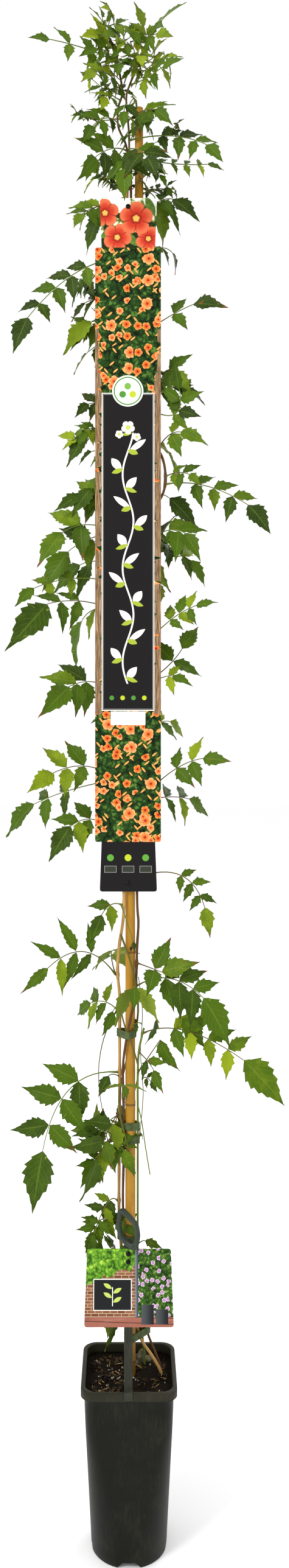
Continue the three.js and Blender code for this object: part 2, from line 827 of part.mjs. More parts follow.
function tie({ z, around }) {
  const circles = [-0.5, 0.5].flatMap((share) => {
    const level = z + share * TIE.width;
    const cane = { x: caneX(level), y: 0, radius: caneRadius(level) + CANE.nodeSwell / 2 };
    const stems = around.map((name) => {
      const point = stemAt(name, level);
      return { x: point.x, y: point.y, radius: STEMS[name].radius * TIE.slant };
    });
    return [cane, ...stems];
  });
  const shape = new THREE.Shape(tightOutline(circles, TIE.room + TIE.thickness));
  shape.holes = [new THREE.Path(tightOutline(circles, TIE.room).reverse())];
  const tape = new THREE.ExtrudeGeometry(shape, { depth: TIE.width, bevelEnabled: false });
  return tape.translate(0, 0, z - TIE.width / 2);
}

// ---------------------------------------------------------------- where the leaves grow

/** One compound leaf: where its rachis bends and ends, its pairs and its longest blade. */
const leaf = (bend, tip, pairs, blade, seed, more = {}) => {
  const usual = { front: 58, hang: 0.25, end: 1.15, slim: 1, bare: BLADE.bareStalk };
  return { bend, tip, pairs, blade, seed, ...usual, ...more };
};

const SPRAYS = [
  { name: "leaf_left_01", on: "left", at: 1986, leaves: [
    leaf([-44, 18, 2002], [-68, -20, 1968], 3, 34, 201, { bare: 0.5 }),
    leaf([-44, 40, 2013], [-66, 72, 2008], 1, 30, 2),
  ] },
  { name: "leaf_right_01", on: "right", at: 1959, leaves: [
    leaf([44, -9, 1999], [64, -18, 1990], 1, 40, 3, { hang: 0.4, end: 1.3, bare: 0.5 }),
  ] },
  { name: "leaf_left_02", on: "left", at: 1905, leaves: [
    leaf([-78, 16, 1918], [-146, -55, 1803], 4, 40, 4, { hang: 0.35, end: 1.6, bare: 0.34 }),
  ] },
  { name: "leaf_left_03", on: "left", at: 1841, leaves: [
    leaf([-48, 18, 1862], [-66, 24, 1852], 1, 32, 5, { bare: 0.5 }),
    leaf([-10, 48, 1816], [10, 84, 1790], 2, 42, 6, { front: 20 }),
  ] },
  { name: "leaf_left_04", on: "left", at: 1801, leaves: [
    leaf([-36, 10, 1824], [-56, 2, 1816], 1, 44, 7, { end: 1.4, hang: 0.45 }),
    leaf([-43, 35, 1796], [-64, 52, 1786], 1, 36, 8, { end: 1.2, hang: 0.4 }),
  ] },
  { name: "leaf_right_02", on: "right", at: 1896, leaves: [
    leaf([46, -7, 1937], [66, 26, 1928], 1, 26, 9, { hang: 0.8, bare: 0.5 }),
  ] },
  { name: "leaf_right_03", on: "right", at: 1787, leaves: [
    leaf([57, -4, 1824], [94, -26, 1832], 1, 38, 10, { end: 1.4, bare: 0.5 }),
  ] },
  { name: "leaf_right_04", on: "right", at: 1690, leaves: [
    leaf([86, -4, 1650], [74, -28, 1706], 3, 38, 11, { hang: 0.1, front: 75, bare: 0.45 }),
    leaf([52, 12, 1716], [66, 18, 1722], 1, 38, 111, { hang: 0.1, front: 70 }),
  ] },
  { name: "leaf_right_05", on: "right", at: 1625, leaves: [
    leaf([58, -8, 1652], [76, -22, 1646], 1, 46, 512, { bare: 0.5, hang: 0.2 }),
    leaf([58, 30, 1640], [70, 62, 1618], 1, 38, 112),
  ] },
  { name: "leaf_right_06", on: "right", at: 1583, leaves: [
    leaf([72, -16, 1592], [88, -40, 1580], 2, 28, 13, { bare: 0.2 }),
  ] },
  { name: "leaf_right_07", on: "right", at: 1572, leaves: [
    leaf([112, -10, 1582], [172, -50, 1534], 3, 38, 14, { end: 1.45, hang: 0.3, bare: 0.3 }),
  ] },
  { name: "leaf_right_08", on: "right", at: 1479, leaves: [
    leaf([60, 0, 1518], [82, -18, 1498], 2, 46, 215, { hang: 0.4, bare: 0.5 }),
    leaf([34, 44, 1466], [44, 82, 1436], 2, 42, 16, { front: 20 }),
  ] },
  { name: "leaf_left_05", on: "left", at: 1678, leaves: [
    leaf([-44, 10, 1702], [-60, -4, 1692], 1, 32, 17, { bare: 0.6 }),
    leaf([-43, 30, 1668], [-56, 38, 1660], 1, 28, 18, { bare: 0.5 }),
  ] },
  { name: "leaf_left_06", on: "left", at: 1597, leaves: [leaf([-43, 16, 1631], [-56, 24, 1628], 1, 26, 19)] },
  { name: "leaf_left_07", on: "left", at: 1552, leaves: [
    leaf([-40, 16, 1576], [-56, 4, 1568], 1, 40, 20, { end: 1.35, hang: 0.45, bare: 0.6 }),
    leaf([-54, 8, 1562], [-74, 0, 1556], 1, 40, 220, { end: 1.2, hang: 0.3, front: 75 }),
  ] },
  { name: "leaf_left_08", on: "left", at: 1500, leaves: [
    leaf([-64, 14, 1528], [-98, -24, 1498], 1, 54, 121, { end: 1.15, hang: 0.3, bare: 0.5 }),
    leaf([-60, 4, 1500], [-90, 0, 1474], 1, 52, 221, { end: 1.25, hang: 0.4, front: 75 }),
  ] },
  { name: "leaf_left_09", on: "left", at: 1448, leaves: [
    leaf([-50, 24, 1470], [-74, 34, 1458], 1, 52, 22, { bare: 0.5, end: 1.2, front: 70 }),
  ] },
  { name: "leaf_left_10", on: "left", at: 1425, leaves: [
    leaf([-82, 8, 1446], [-139, -34, 1415], 2, 30, 123, { end: 1.35, hang: 0.35, bare: 0.45 }),
  ] },
  { name: "leaf_left_11", on: "left", at: 1384, leaves: [
    leaf([-73, 8, 1410], [-118, -56, 1390], 2, 46, 24, { end: 2.3, hang: 0.45, bare: 0.45, slim: 0.8 }),
    leaf([-55, 36, 1402], [-72, 56, 1376], 1, 44, 425, { end: 1.8, hang: 0.7 }),
  ] },
  { name: "leaf_left_12", on: "left", at: 1262, leaves: [
    leaf([-52, 20, 1292], [-88, -26, 1272], 2, 54, 126, { end: 1.2, hang: 0.4, bare: 0.6 }),
    leaf([-20, 50, 1236], [-10, 88, 1206], 2, 44, 127, { front: 0 }),
  ] },
  { name: "leaf_right_09", on: "right", at: 1322, leaves: [
    leaf([58, -3, 1378], [98, -34, 1390], 3, 34, 28, { hang: 0.1, bare: 0.5 }),
  ] },
  { name: "leaf_right_10", on: "right", at: 1271, leaves: [
    leaf([62, 10, 1300], [80, 24, 1330], 1, 44, 29, { hang: 0.1, bare: 0.55 }),
    leaf([52, -3, 1290], [64, -10, 1288], 1, 28, 30, { bare: 0.75 }),
  ] },
  { name: "leaf_right_11", on: "right", at: 1194, leaves: [
    leaf([46, 20, 1226], [62, 36, 1220], 1, 36, 31, { bare: 0.5 }),
  ] },
  { name: "leaf_left_13", on: "left", at: 1135, leaves: [
    leaf([-64, 12, 1168], [-110, -36, 1146], 2, 48, 32, { end: 1.2, hang: 0.1, bare: 0.45 }),
    leaf([-94, 34, 1120], [-145, 50, 1094], 2, 42, 133, { end: 1.7, hang: 0.4, bare: 0.45 }),
  ] },
  { name: "leaf_left_14", on: "left", at: 1053, leaves: [
    leaf([-56, 12, 1090], [-86, -16, 1066], 2, 42, 34, { end: 1.35, hang: 0.4, bare: 0.5 }),
  ] },
  { name: "leaf_right_12", on: "right", at: 1100, leaves: [
    leaf([65, -2, 1160], [108, -36, 1167], 2, 40, 35, { end: 1.2, hang: 0.15, bare: 0.5 }),
    leaf([58, 26, 1112], [92, 48, 1102], 2, 42, 36, { hang: 0.45, bare: 0.4 }),
  ] },
  { name: "leaf_right_13", on: "right", at: 990, leaves: [
    leaf([91, -4, 1017], [110, -44, 951], 3, 30, 37, { end: 1.6, hang: 0.25, bare: 0.45 }),
  ] },
  { name: "leaf_left_15", on: "left", at: 950, leaves: [
    leaf([-28, -20, 958], [-40, -30, 938], 1, 34, 238, { hang: 0.5 }),
    leaf([-2, -24, 926], [6, -17, 896], 0, 13, 138),
  ] },
  { name: "leaf_left_16", on: "left", at: 845, leaves: [
    leaf([-64, -26, 912], [-116, -65, 868], 3, 54, 239, { hang: 0, front: 75, end: 1.1, slim: 0.62 }),
    leaf([-34, 40, 880], [-20, 82, 862], 2, 42, 40, { front: -20 }),
  ] },
  { name: "leaf_left_17", on: "left", at: 790, leaves: [
    leaf([-36, 20, 806], [-58, 38, 792], 2, 38, 341, { hang: 0.2 }),
    leaf([-60, 10, 724], [-38, 8, 632], 0, 14, 141),
  ] },
  { name: "leaf_front_01", on: "right", at: 802, leaves: [
    leaf([8, -34, 842], [8, -48, 836], 1, 52, 42, { hang: 1.5, end: 0.6, front: 0 }),
  ] },
  { name: "leaf_right_14", on: "right", at: 862, leaves: [
    leaf([30, -14, 858], [48, -20, 852], 1, 50, 43, { hang: -0.7, end: 1.1, bare: 0.6 }),
  ] },
  { name: "leaf_right_15", on: "right", at: 830, leaves: [
    leaf([62, -22, 862], [108, -44, 820], 3, 48, 144, { end: 1.45, hang: 0.35, bare: 0.35 }),
  ] },
  { name: "leaf_left_18", on: "left", at: 697, leaves: [
    leaf([-104, -20, 712], [-124, -60, 604], 3, 56, 145, { end: 1.5, hang: 0 }),
  ] },
  { name: "leaf_front_02", on: "right", at: 664, leaves: [
    leaf([-8, -30, 696], [-6, -42, 691], 1, 36, 46, { hang: 0.2, end: 0.6, front: 0 }),
  ] },
  { name: "leaf_left_19", on: "left", at: 634, leaves: [
    leaf([-26, -24, 638], [-46, -42, 586], 2, 52, 347, { hang: 0.1, front: 70 }),
    leaf([-36, 44, 610], [-30, 84, 590], 2, 44, 48, { front: -20 }),
  ] },
  { name: "leaf_left_20", on: "left", at: 505, leaves: [
    leaf([-30, 0, 524], [-52, -8, 462], 3, 28, 849, { end: 1.5, hang: 0.1 }),
  ] },
  { name: "leaf_left_21", on: "left", at: 374, leaves: [
    leaf([-22, 2, 380], [-25, -6, 362], 0, 50, 50, { end: 1, slim: 1.15, hang: 1 }),
  ] },
];

const CROWN = {
  name: "crown",
  shoots: [
    {
      radius: 1.6,
      route: [
        [0, -6, 2053],
        [-5, 2, 2081],
        [-16, 8, 2110],
        [-16, 8, 2138],
        [-10, 5, 2161],
        [-18, 3, 2205],
        [-28, 2, 2238],
      ],
      leaves: [
        leaf([-38, 0, 2252], [-40, 6, 2272], 2, 26, 551, { share: 0.99, front: 10, hang: 0, end: 0.85 }),
        leaf([-38, -12, 2236], [-46, -22, 2230], 1, 36, 171, { share: 0.94, front: 75, hang: 0 }),
        leaf([-55, -25, 2209], [-114, -60, 2201], 2, 31, 52, { share: 0.81, hang: 0, front: 70 }),
        leaf([-34, -20, 2214], [-48, -32, 2204], 2, 27, 72, { share: 0.76, hang: 0.1, front: 70 }),
        leaf([-37, 20, 2231], [-52, 42, 2235], 1, 30, 53, { share: 0.86 }),
        leaf([-27, -30, 2173], [-48, -55, 2158], 2, 30, 54, { share: 0.6 }),
        leaf([-29, 18, 2163], [-55, 28, 2191], 2, 24, 55, { share: 0.52, hang: 0.1 }),
        leaf([-12, -22, 2200], [-14, -36, 2180], 2, 30, 173, { share: 0.72, hang: 0, front: 0 }),
        leaf([-30, -14, 2150], [-34, -30, 2134], 1, 27, 74, { share: 0.46, hang: 0.2, front: 40 }),
        leaf([-43, 30, 2127], [-61, 60, 2150], 1, 28, 56, { share: 0.38 }),
        leaf([-29, -25, 2118], [-52, -50, 2082], 2, 32, 57, { share: 0.31, hang: 0.3 }),
        leaf([-24, -30, 2066], [-48, -56, 2034], 2, 42, 59, { share: 0.09, hang: 0.3, front: 75 }),
        leaf([-25, 40, 2066], [-52, 65, 2060], 2, 28, 60, { share: 0.14 }),
      ],
    },
    {
      radius: 1.5,
      route: [
        [0, -6, 2053],
        [0, -6, 2092],
        [-4, -3, 2145],
        [1, -3, 2166],
        [13, 0, 2196],
        [30, 8, 2243],
        [36, 8, 2254],
      ],
      leaves: [
        leaf([2, -8, 2196], [1, 4, 2222], 2, 27, 61, { share: 0.6, hang: 0, front: 0, end: 0.9 }),
        leaf([42, 2, 2259], [50, -6, 2262], 1, 28, 62, { share: 0.99, hang: 0, end: 1.7 }),
        leaf([26, -8, 2238], [22, -14, 2246], 1, 27, 75, { share: 0.88, hang: -0.2, front: 30 }),
        leaf([24, -20, 2228], [40, -38, 2222], 2, 28, 63, { share: 0.8, front: 75 }),
        leaf([12, -22, 2206], [16, -38, 2190], 2, 30, 76, { share: 0.7, hang: 0, front: 0 }),
        leaf([25, -35, 2156], [48, -60, 2161], 2, 30, 64, { share: 0.55, end: 1.3, front: 75 }),
        leaf([26, 25, 2205], [35, 45, 2214], 1, 27, 65, { share: 0.72 }),
        leaf([-6, -30, 2126], [-7, -44, 2106], 1, 30, 366, { share: 0.4, hang: 0.6, front: 0 }),
        leaf([16, -30, 2118], [38, -48, 2106], 2, 38, 367, { share: 0.28, hang: 0.4 }),
        leaf([10, -26, 2094], [18, -40, 2092], 1, 30, 77, { share: 0.2, hang: 0.1, slim: 0.7 }),
        leaf([66, -20, 2092], [112, -55, 2052], 3, 36, 68, { share: 0.14, hang: 0.3, end: 1.2 }),
        leaf([14, -40, 2056], [26, -66, 2030], 2, 46, 69, { share: 0.08, hang: 0.3, front: 30 }),
        leaf([-4, -36, 2040], [-6, -52, 2020], 1, 44, 78, { share: 0.05, hang: 0.6, front: 0 }),
        leaf([60, -22, 2036], [116, -12, 2044], 4, 22, 70, { share: 0.03, hang: 0.2 }),
      ],
    },
  ],
};

const GREEN_LEAVES = [
  leaf([75, -20, 789], [165, -55, 733], 4, 42, 81, { share: 0.985, end: 1.95, hang: 0.25 }),
  leaf([28, -22, 724], [36, -34, 712], 1, 28, 82, { share: 0.93, hang: 0.4 }),
  leaf([20, 5, 447], [24, 4, 446], 0, 24, 83, { share: 0.4, hang: 0 }),
];
const GREEN_STRANDS = [
  [
    [13, -4, 652],
    [19, -10, 628],
    [24, -15, 595],
    [31, -20, 554],
  ],
];

// ---------------------------------------------------------------- the whole plant

const plant = new THREE.Group();
plant.name = "trumpet_vine";

function addPart(name, geometry, material) {
  const mesh = new THREE.Mesh(geometry, material);
  mesh.name = name;
  plant.add(mesh);
}

/** A green shoot with compound leaves and thin strands along it, grown as one. */
function leafyShoot(shoot, leaves, strands = []) {
  const { path, radius, steps } = shoot;
  const pieces = [tube(path, radius, STEM_SIDES, steps)];
  for (const points of strands) {
    const strand = new THREE.CatmullRomCurve3(points.map(vector), false, "catmullrom", 0.5);
    pieces.push(tube(strand, STRAND.radius, STRAND.sides, STRAND.steps));
  }
  return [...pieces, ...leaves.map((one) => frond(one, stemPoint(shoot, one.share)))];
}

addPart("pot", pot(), potPlastic);
addPart("soil", soil(), soilMix);
addPart("cane", caneGeometry(), bamboo);
addPart("carry_handle", carryHandle(), handlePlastic);
addPart("label_panel", labelPanel(), labelCard);
addPart("label_back", labelBack(), labelCard);
for (const place of LABEL_STUDS) addPart(place.name, labelStud(place), studPlastic);
addPart("hang_card", hangCardPlate(), hangCard);
CARD_STUDS_DROP.forEach((drop, i) => addPart(`hang_card_stud_${i + 1}`, cardStud(drop), studPlastic));
for (const place of TIES) addPart(place.name, tie(place), tieTape);
for (const name of ["left", "right"]) {
  const { path, radius, steps, material } = STEMS[name];
  addPart(`stem_${name}`, tube(path, radius, STEM_SIDES, steps), material);
}
addPart("green_shoot", join(leafyShoot(STEMS.green, GREEN_LEAVES, GREEN_STRANDS)), greenShoot);
const crownPieces = CROWN.shoots.flatMap(({ route, radius, leaves }) =>
  leafyShoot(stem(route, radius, leafGreen), leaves),
);
addPart(CROWN.name, join(crownPieces), leafGreen);
for (const place of SPRAYS) addPart(place.name, spray(place), leafGreen);

// The origin goes on the floor, under the middle of the whole plant's outline.
const middle = new THREE.Box3().setFromObject(plant).getCenter(new THREE.Vector3());
plant.position.set(-middle.x, -middle.y, 0);

export default plant;
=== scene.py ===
"""A young trumpet vine tied to a bamboo cane in its nursery pot, with its label, card and handle.

Lengths are millimetres from the spot on the floor under the middle of the pot, with +Z up and -Y to
the front. Each mesh is written in metres in the part's own frame, which that spot is moved into.
"""

import logging
import math
from collections.abc import Callable
from dataclasses import dataclass, field
from enum import Enum

import bpy
import numpy as np
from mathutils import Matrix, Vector


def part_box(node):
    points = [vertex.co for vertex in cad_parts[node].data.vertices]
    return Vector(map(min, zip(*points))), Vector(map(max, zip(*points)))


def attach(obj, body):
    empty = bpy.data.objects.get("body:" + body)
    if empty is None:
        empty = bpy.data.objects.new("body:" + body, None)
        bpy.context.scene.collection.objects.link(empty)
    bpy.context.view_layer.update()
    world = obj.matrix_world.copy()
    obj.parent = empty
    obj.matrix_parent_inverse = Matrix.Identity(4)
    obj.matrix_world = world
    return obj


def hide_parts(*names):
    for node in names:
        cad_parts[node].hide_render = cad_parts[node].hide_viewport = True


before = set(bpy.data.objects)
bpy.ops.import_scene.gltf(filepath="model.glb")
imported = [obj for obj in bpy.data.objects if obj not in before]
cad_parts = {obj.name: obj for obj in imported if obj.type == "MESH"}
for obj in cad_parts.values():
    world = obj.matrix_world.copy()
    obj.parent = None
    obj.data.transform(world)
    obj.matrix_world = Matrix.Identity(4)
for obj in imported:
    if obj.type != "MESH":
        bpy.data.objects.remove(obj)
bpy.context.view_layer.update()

log = logging.getLogger("trumpet_vine")
Array = np.ndarray
Material = bpy.types.Material
Pair = tuple[float, float]
Point = tuple[float, float, float]
MM = 0.001


def pot_middle() -> Array:
    """The floor under the middle of the pot in the part's frame, in millimetres."""
    low, high = (np.array(corner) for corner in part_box("pot"))
    return (low + high) / 2 * np.array([1, 1, 0]) / MM


MIDDLE = pot_middle()


class Slot(Enum):
    """The part's material slots."""

    POT = "pot_plastic"
    HANDLE = "handle_plastic"
    STUD = "stud_plastic"
    SOIL = "soil_mix"
    BAMBOO = "bamboo"
    TIE = "tie_tape"
    LABEL = "label_card"
    CARD = "hang_card"
    BARK = "bark"
    PALE_BARK = "pale_bark"
    GREEN = "green_shoot"
    LEAF = "leaf_green"


# ---- arithmetic on arrays


def unit(vectors: Array) -> Array:
    """Vectors of length one: each is divided by its own length."""
    return vectors / np.linalg.norm(vectors, axis=-1, keepdims=True)


def square_to(vectors: Array, axis: Array) -> Array:
    """The unit part of vectors square to an axis: what is left after their part along it."""
    along = np.sum(vectors * axis, axis=-1, keepdims=True)
    return unit(vectors - along * axis)


def turned(vectors: Array, axis: Array, angle: Array) -> Array:
    """Vectors turned about a unit axis square to them: v cos(angle) + (axis x v) sin(angle)."""
    angle = np.asarray(angle)[..., None]
    return vectors * np.cos(angle) + np.cross(axis, vectors) * np.sin(angle)


def smooth_step(value: Array, low: float, high: float) -> Array:
    """The share t of the way from low to high, clamped, as 3t^2 - 2t^3."""
    t = np.clip((np.asarray(value) - low) / (high - low), 0, 1)
    return t * t * (3 - 2 * t)


def bump(value: Array, centre: float, width: float) -> Array:
    """A bell that is 1 at the centre: exp of minus the squared distance in widths."""
    return np.exp(-(((np.asarray(value) - centre) / width) ** 2))


def draw(seed: Array, index: Array, kind: float) -> Array:
    """A repeatable draw from 0 to 1: the fraction of a large sine of the three numbers."""
    wave = np.sin(np.asarray(seed) * 127.1 + np.asarray(index) * 311.7 + kind * 74.7) * 43758.5453
    return wave - np.floor(wave)


def varied(about: Pair, seed: Array, index: Array, kind: float) -> Array:
    """A repeatable draw about a middle, up to a spread away from it."""
    return about[0] + about[1] * (2 * draw(seed, index, kind) - 1)


def turned_axes(x: "Array | Wire", y: "Array | Wire", angle: float) -> tuple:
    """A point's two numbers in axes turned by an angle: x cos + y sin and y cos - x sin."""
    cos, sin = math.cos(angle), math.sin(angle)
    return x * cos + y * sin, y * cos - x * sin


def round_turn(count: int) -> Array:
    """Angles of a full turn, without the last."""
    return np.linspace(0, 2 * np.pi, count, endpoint=False)


def cubic(points: tuple[Array, ...], ease: float, share: Array) -> Array:
    """A smooth curve p + a t + (3 d - 2 a - b) t^2 + (a + b - 2 d) t^3 over the way d, with slopes a and b.

    Args:
        points: The point before, the two ends and the point after.
        ease: Share of the neighbours' chord that is the slope between them.
        share: Share t of the way.

    Returns:
        The points.
    """
    before, start, end, after = points
    slope, last, way = ease * (end - before), ease * (after - start), end - start
    square, cube = 3 * way - 2 * slope - last, slope + last - 2 * way
    return start + slope * share + square * share**2 + cube * share**3


# ---- surfaces


@dataclass
class Surface:
    """Vertices in millimetres, faces and named vectors of each vertex.

    Each array in faces has a row of corner numbers for each face.
    """

    points: Array
    faces: list[Array]
    values: dict[str, Array] = field(default_factory=dict)

    @staticmethod
    def joined(parts: "list[Surface]") -> "Surface":
        """Several surfaces with the same named vectors as one.

        Args:
            parts: The surfaces.

        Returns:
            One surface, whose corner numbers follow on from part to part.
        """
        offsets = np.cumsum([0] + [len(part.points) for part in parts[:-1]])
        faces = [f + int(start) for part, start in zip(parts, offsets) for f in part.faces]
        names = parts[0].values
        values = {name: np.concatenate([part.values[name] for part in parts]) for name in names}
        return Surface(np.concatenate([part.points for part in parts]), faces, values)

    def tagged(self, **values: Point) -> "Surface":
        """The surface with the same named vectors at every vertex."""
        for name, value in values.items():
            self.values[name] = np.broadcast_to(np.array(value, float), (len(self.points), 3)).copy()
        return self


def grid_faces(rows: int, columns: int, wrap_columns: bool = True, wrap_rows: bool = False) -> Array:
    """Four-cornered faces of a grid whose vertices are numbered row by row.

    Args:
        rows: Number of rows.
        columns: Number of vertices in a row.
        wrap_columns: The last vertex of each row joins the first.
        wrap_rows: The last row joins the first.

    Returns:
        One row of four vertex numbers for each face. A face looks along columns x rows.
    """
    i = np.arange(rows if wrap_rows else rows - 1)[:, None]
    j = np.arange(columns if wrap_columns else columns - 1)[None, :]
    below, above = i * columns, ((i + 1) % rows) * columns
    right = (j + 1) % columns
    corners = np.stack(np.broadcast_arrays(below + j, below + right, above + right, above + j), -1)
    return corners.reshape(-1, 4)


def loft(rings: Array) -> Surface:
    """A closed skin over rings, with a pole in the middle of the first and of the last.

    Args:
        rings: Vertices by ring, place and axis. Rings run the right-handed way round the direction
            from the first to the last.

    Returns:
        The surface, facing outwards.
    """
    rows, columns = rings.shape[:2]
    first = rows * columns
    one = np.arange(columns)
    after = np.roll(one, -1)
    start = np.stack([first + 0 * one, after, one], -1)
    end = np.stack([one, after, columns + 1 + 0 * one], -1) + first - columns
    points = np.concatenate([rings.reshape(-1, 3), rings[[0, -1]].mean(1)])
    return Surface(points, [grid_faces(rows, columns), start, end])


def tube(path: Array, radius: Array, sides: int, reference: Point = (0, 1, 0)) -> Surface:
    """A round tube: rings of path + radius (a cos t + b sin t), square to the path.

    Args:
        path: Points of the middle line.
        radius: Radius at each point, or one for all.
        sides: Vertices in a ring.
        reference: A direction that the path never takes.

    Returns:
        The closed tube.
    """
    along = unit(np.gradient(path, axis=0))
    a = unit(np.cross(np.array(reference, float), along))
    b = np.cross(along, a)
    turn = round_turn(sides)[None, :, None]
    wide = np.broadcast_to(np.asarray(radius, float), len(path))[:, None, None]
    around = a[:, None] * np.cos(turn) + b[:, None] * np.sin(turn)
    return loft(path[:, None] + wide * around)


def put(name: str, data: bpy.types.ID) -> bpy.types.Object:
    """A new object in the scene, at the origin."""
    made = bpy.data.objects.new(name, data)
    bpy.context.scene.collection.objects.link(made)
    return made


@dataclass
class Piece:
    """A finished shape on its way into the scene."""

    name: str
    surface: Surface
    material: Material
    slot: Slot
    nodes: tuple[str, ...] = ()
    crease: float = 40.0

    def place(self) -> bpy.types.Object:
        """Writes the mesh in metres, with smooth shading between creases.

        Returns:
            The object, at the origin and declared to the frame.
        """
        mesh = bpy.data.meshes.new(self.name)
        faces = [face for kind in self.surface.faces for face in kind.tolist()]
        mesh.from_pydata((self.surface.points + MIDDLE) * MM, [], faces)
        mesh.shade_smooth()
        mesh.set_sharp_from_angle(angle=math.radians(self.crease))
        for name, values in self.surface.values.items():
            layer = mesh.attributes.new(name, "FLOAT_VECTOR", "POINT")
            layer.data.foreach_set("vector", values.astype(np.float32).ravel())
        mesh.materials.append(self.material)
        made = put(self.name, mesh)
        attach(made, "root")
        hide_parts(*self.nodes)
        log.info("%s: %d faces for %s", self.name, len(faces), ", ".join(self.nodes) or "detail")
        return made


# ---- shaders


def linear(code: str) -> tuple[float, float, float, float]:
    """A colour written as six hex digits, as linear light: the sRGB curve undone."""
    shown = np.array([int(code[i : i + 2], 16) / 255 for i in (0, 2, 4)])
    light = np.where(shown <= 0.04045, shown / 12.92, ((shown + 0.055) / 1.055) ** 2.4)
    return (float(light[0]), float(light[1]), float(light[2]), 1.0)


def operation(kind: str, flipped: bool = False) -> Callable[..., "Wire"]:
    """A Wire's method that adds one kind of Math node, with the Wire last if it is flipped."""
    return lambda wire, *others: wire.math(kind, *others, flipped=flipped)


@dataclass(frozen=True)
class Wire:
    """One output of a node in a shader. Arithmetic on it adds Math nodes."""

    graph: "Graph"
    socket: bpy.types.NodeSocket

    __add__ = __radd__ = operation("ADD")
    __mul__ = __rmul__ = operation("MULTIPLY")
    __sub__, __rsub__ = operation("SUBTRACT"), operation("SUBTRACT", True)
    __truediv__, __rtruediv__ = operation("DIVIDE"), operation("DIVIDE", True)
    __abs__ = operation("ABSOLUTE")
    fraction = operation("FRACT")
    greatest = operation("MAXIMUM")
    least = operation("MINIMUM")
    above = operation("GREATER_THAN")
    root = operation("SQRT")

    def math(self, kind: str, *others: "Wire | float", flipped: bool = False) -> "Wire":
        """A Math node of a kind on this value and others, with this one last if it is flipped."""
        values = [*others, self] if flipped else [self, *others]
        return self.graph.add("ShaderNodeMath", {"operation": kind}, dict(enumerate(values)))

    def over(self, low: float, high: float) -> "Wire":
        """From 0 at low to 1 at high, smoothly. It falls if low is the greater."""
        limits = {"Value": self, "From Min": low, "From Max": high}
        return self.graph.add("ShaderNodeMapRange", {"interpolation_type": "SMOOTHSTEP"}, limits)

    def within(self, low: float, high: float, edge: float) -> "Wire":
        """1 between two values and 0 outside them, with soft edges."""
        return self.over(low - edge, low + edge) * self.over(high + edge, high - edge)


Value = "Wire | float | str | tuple[float, ...]"


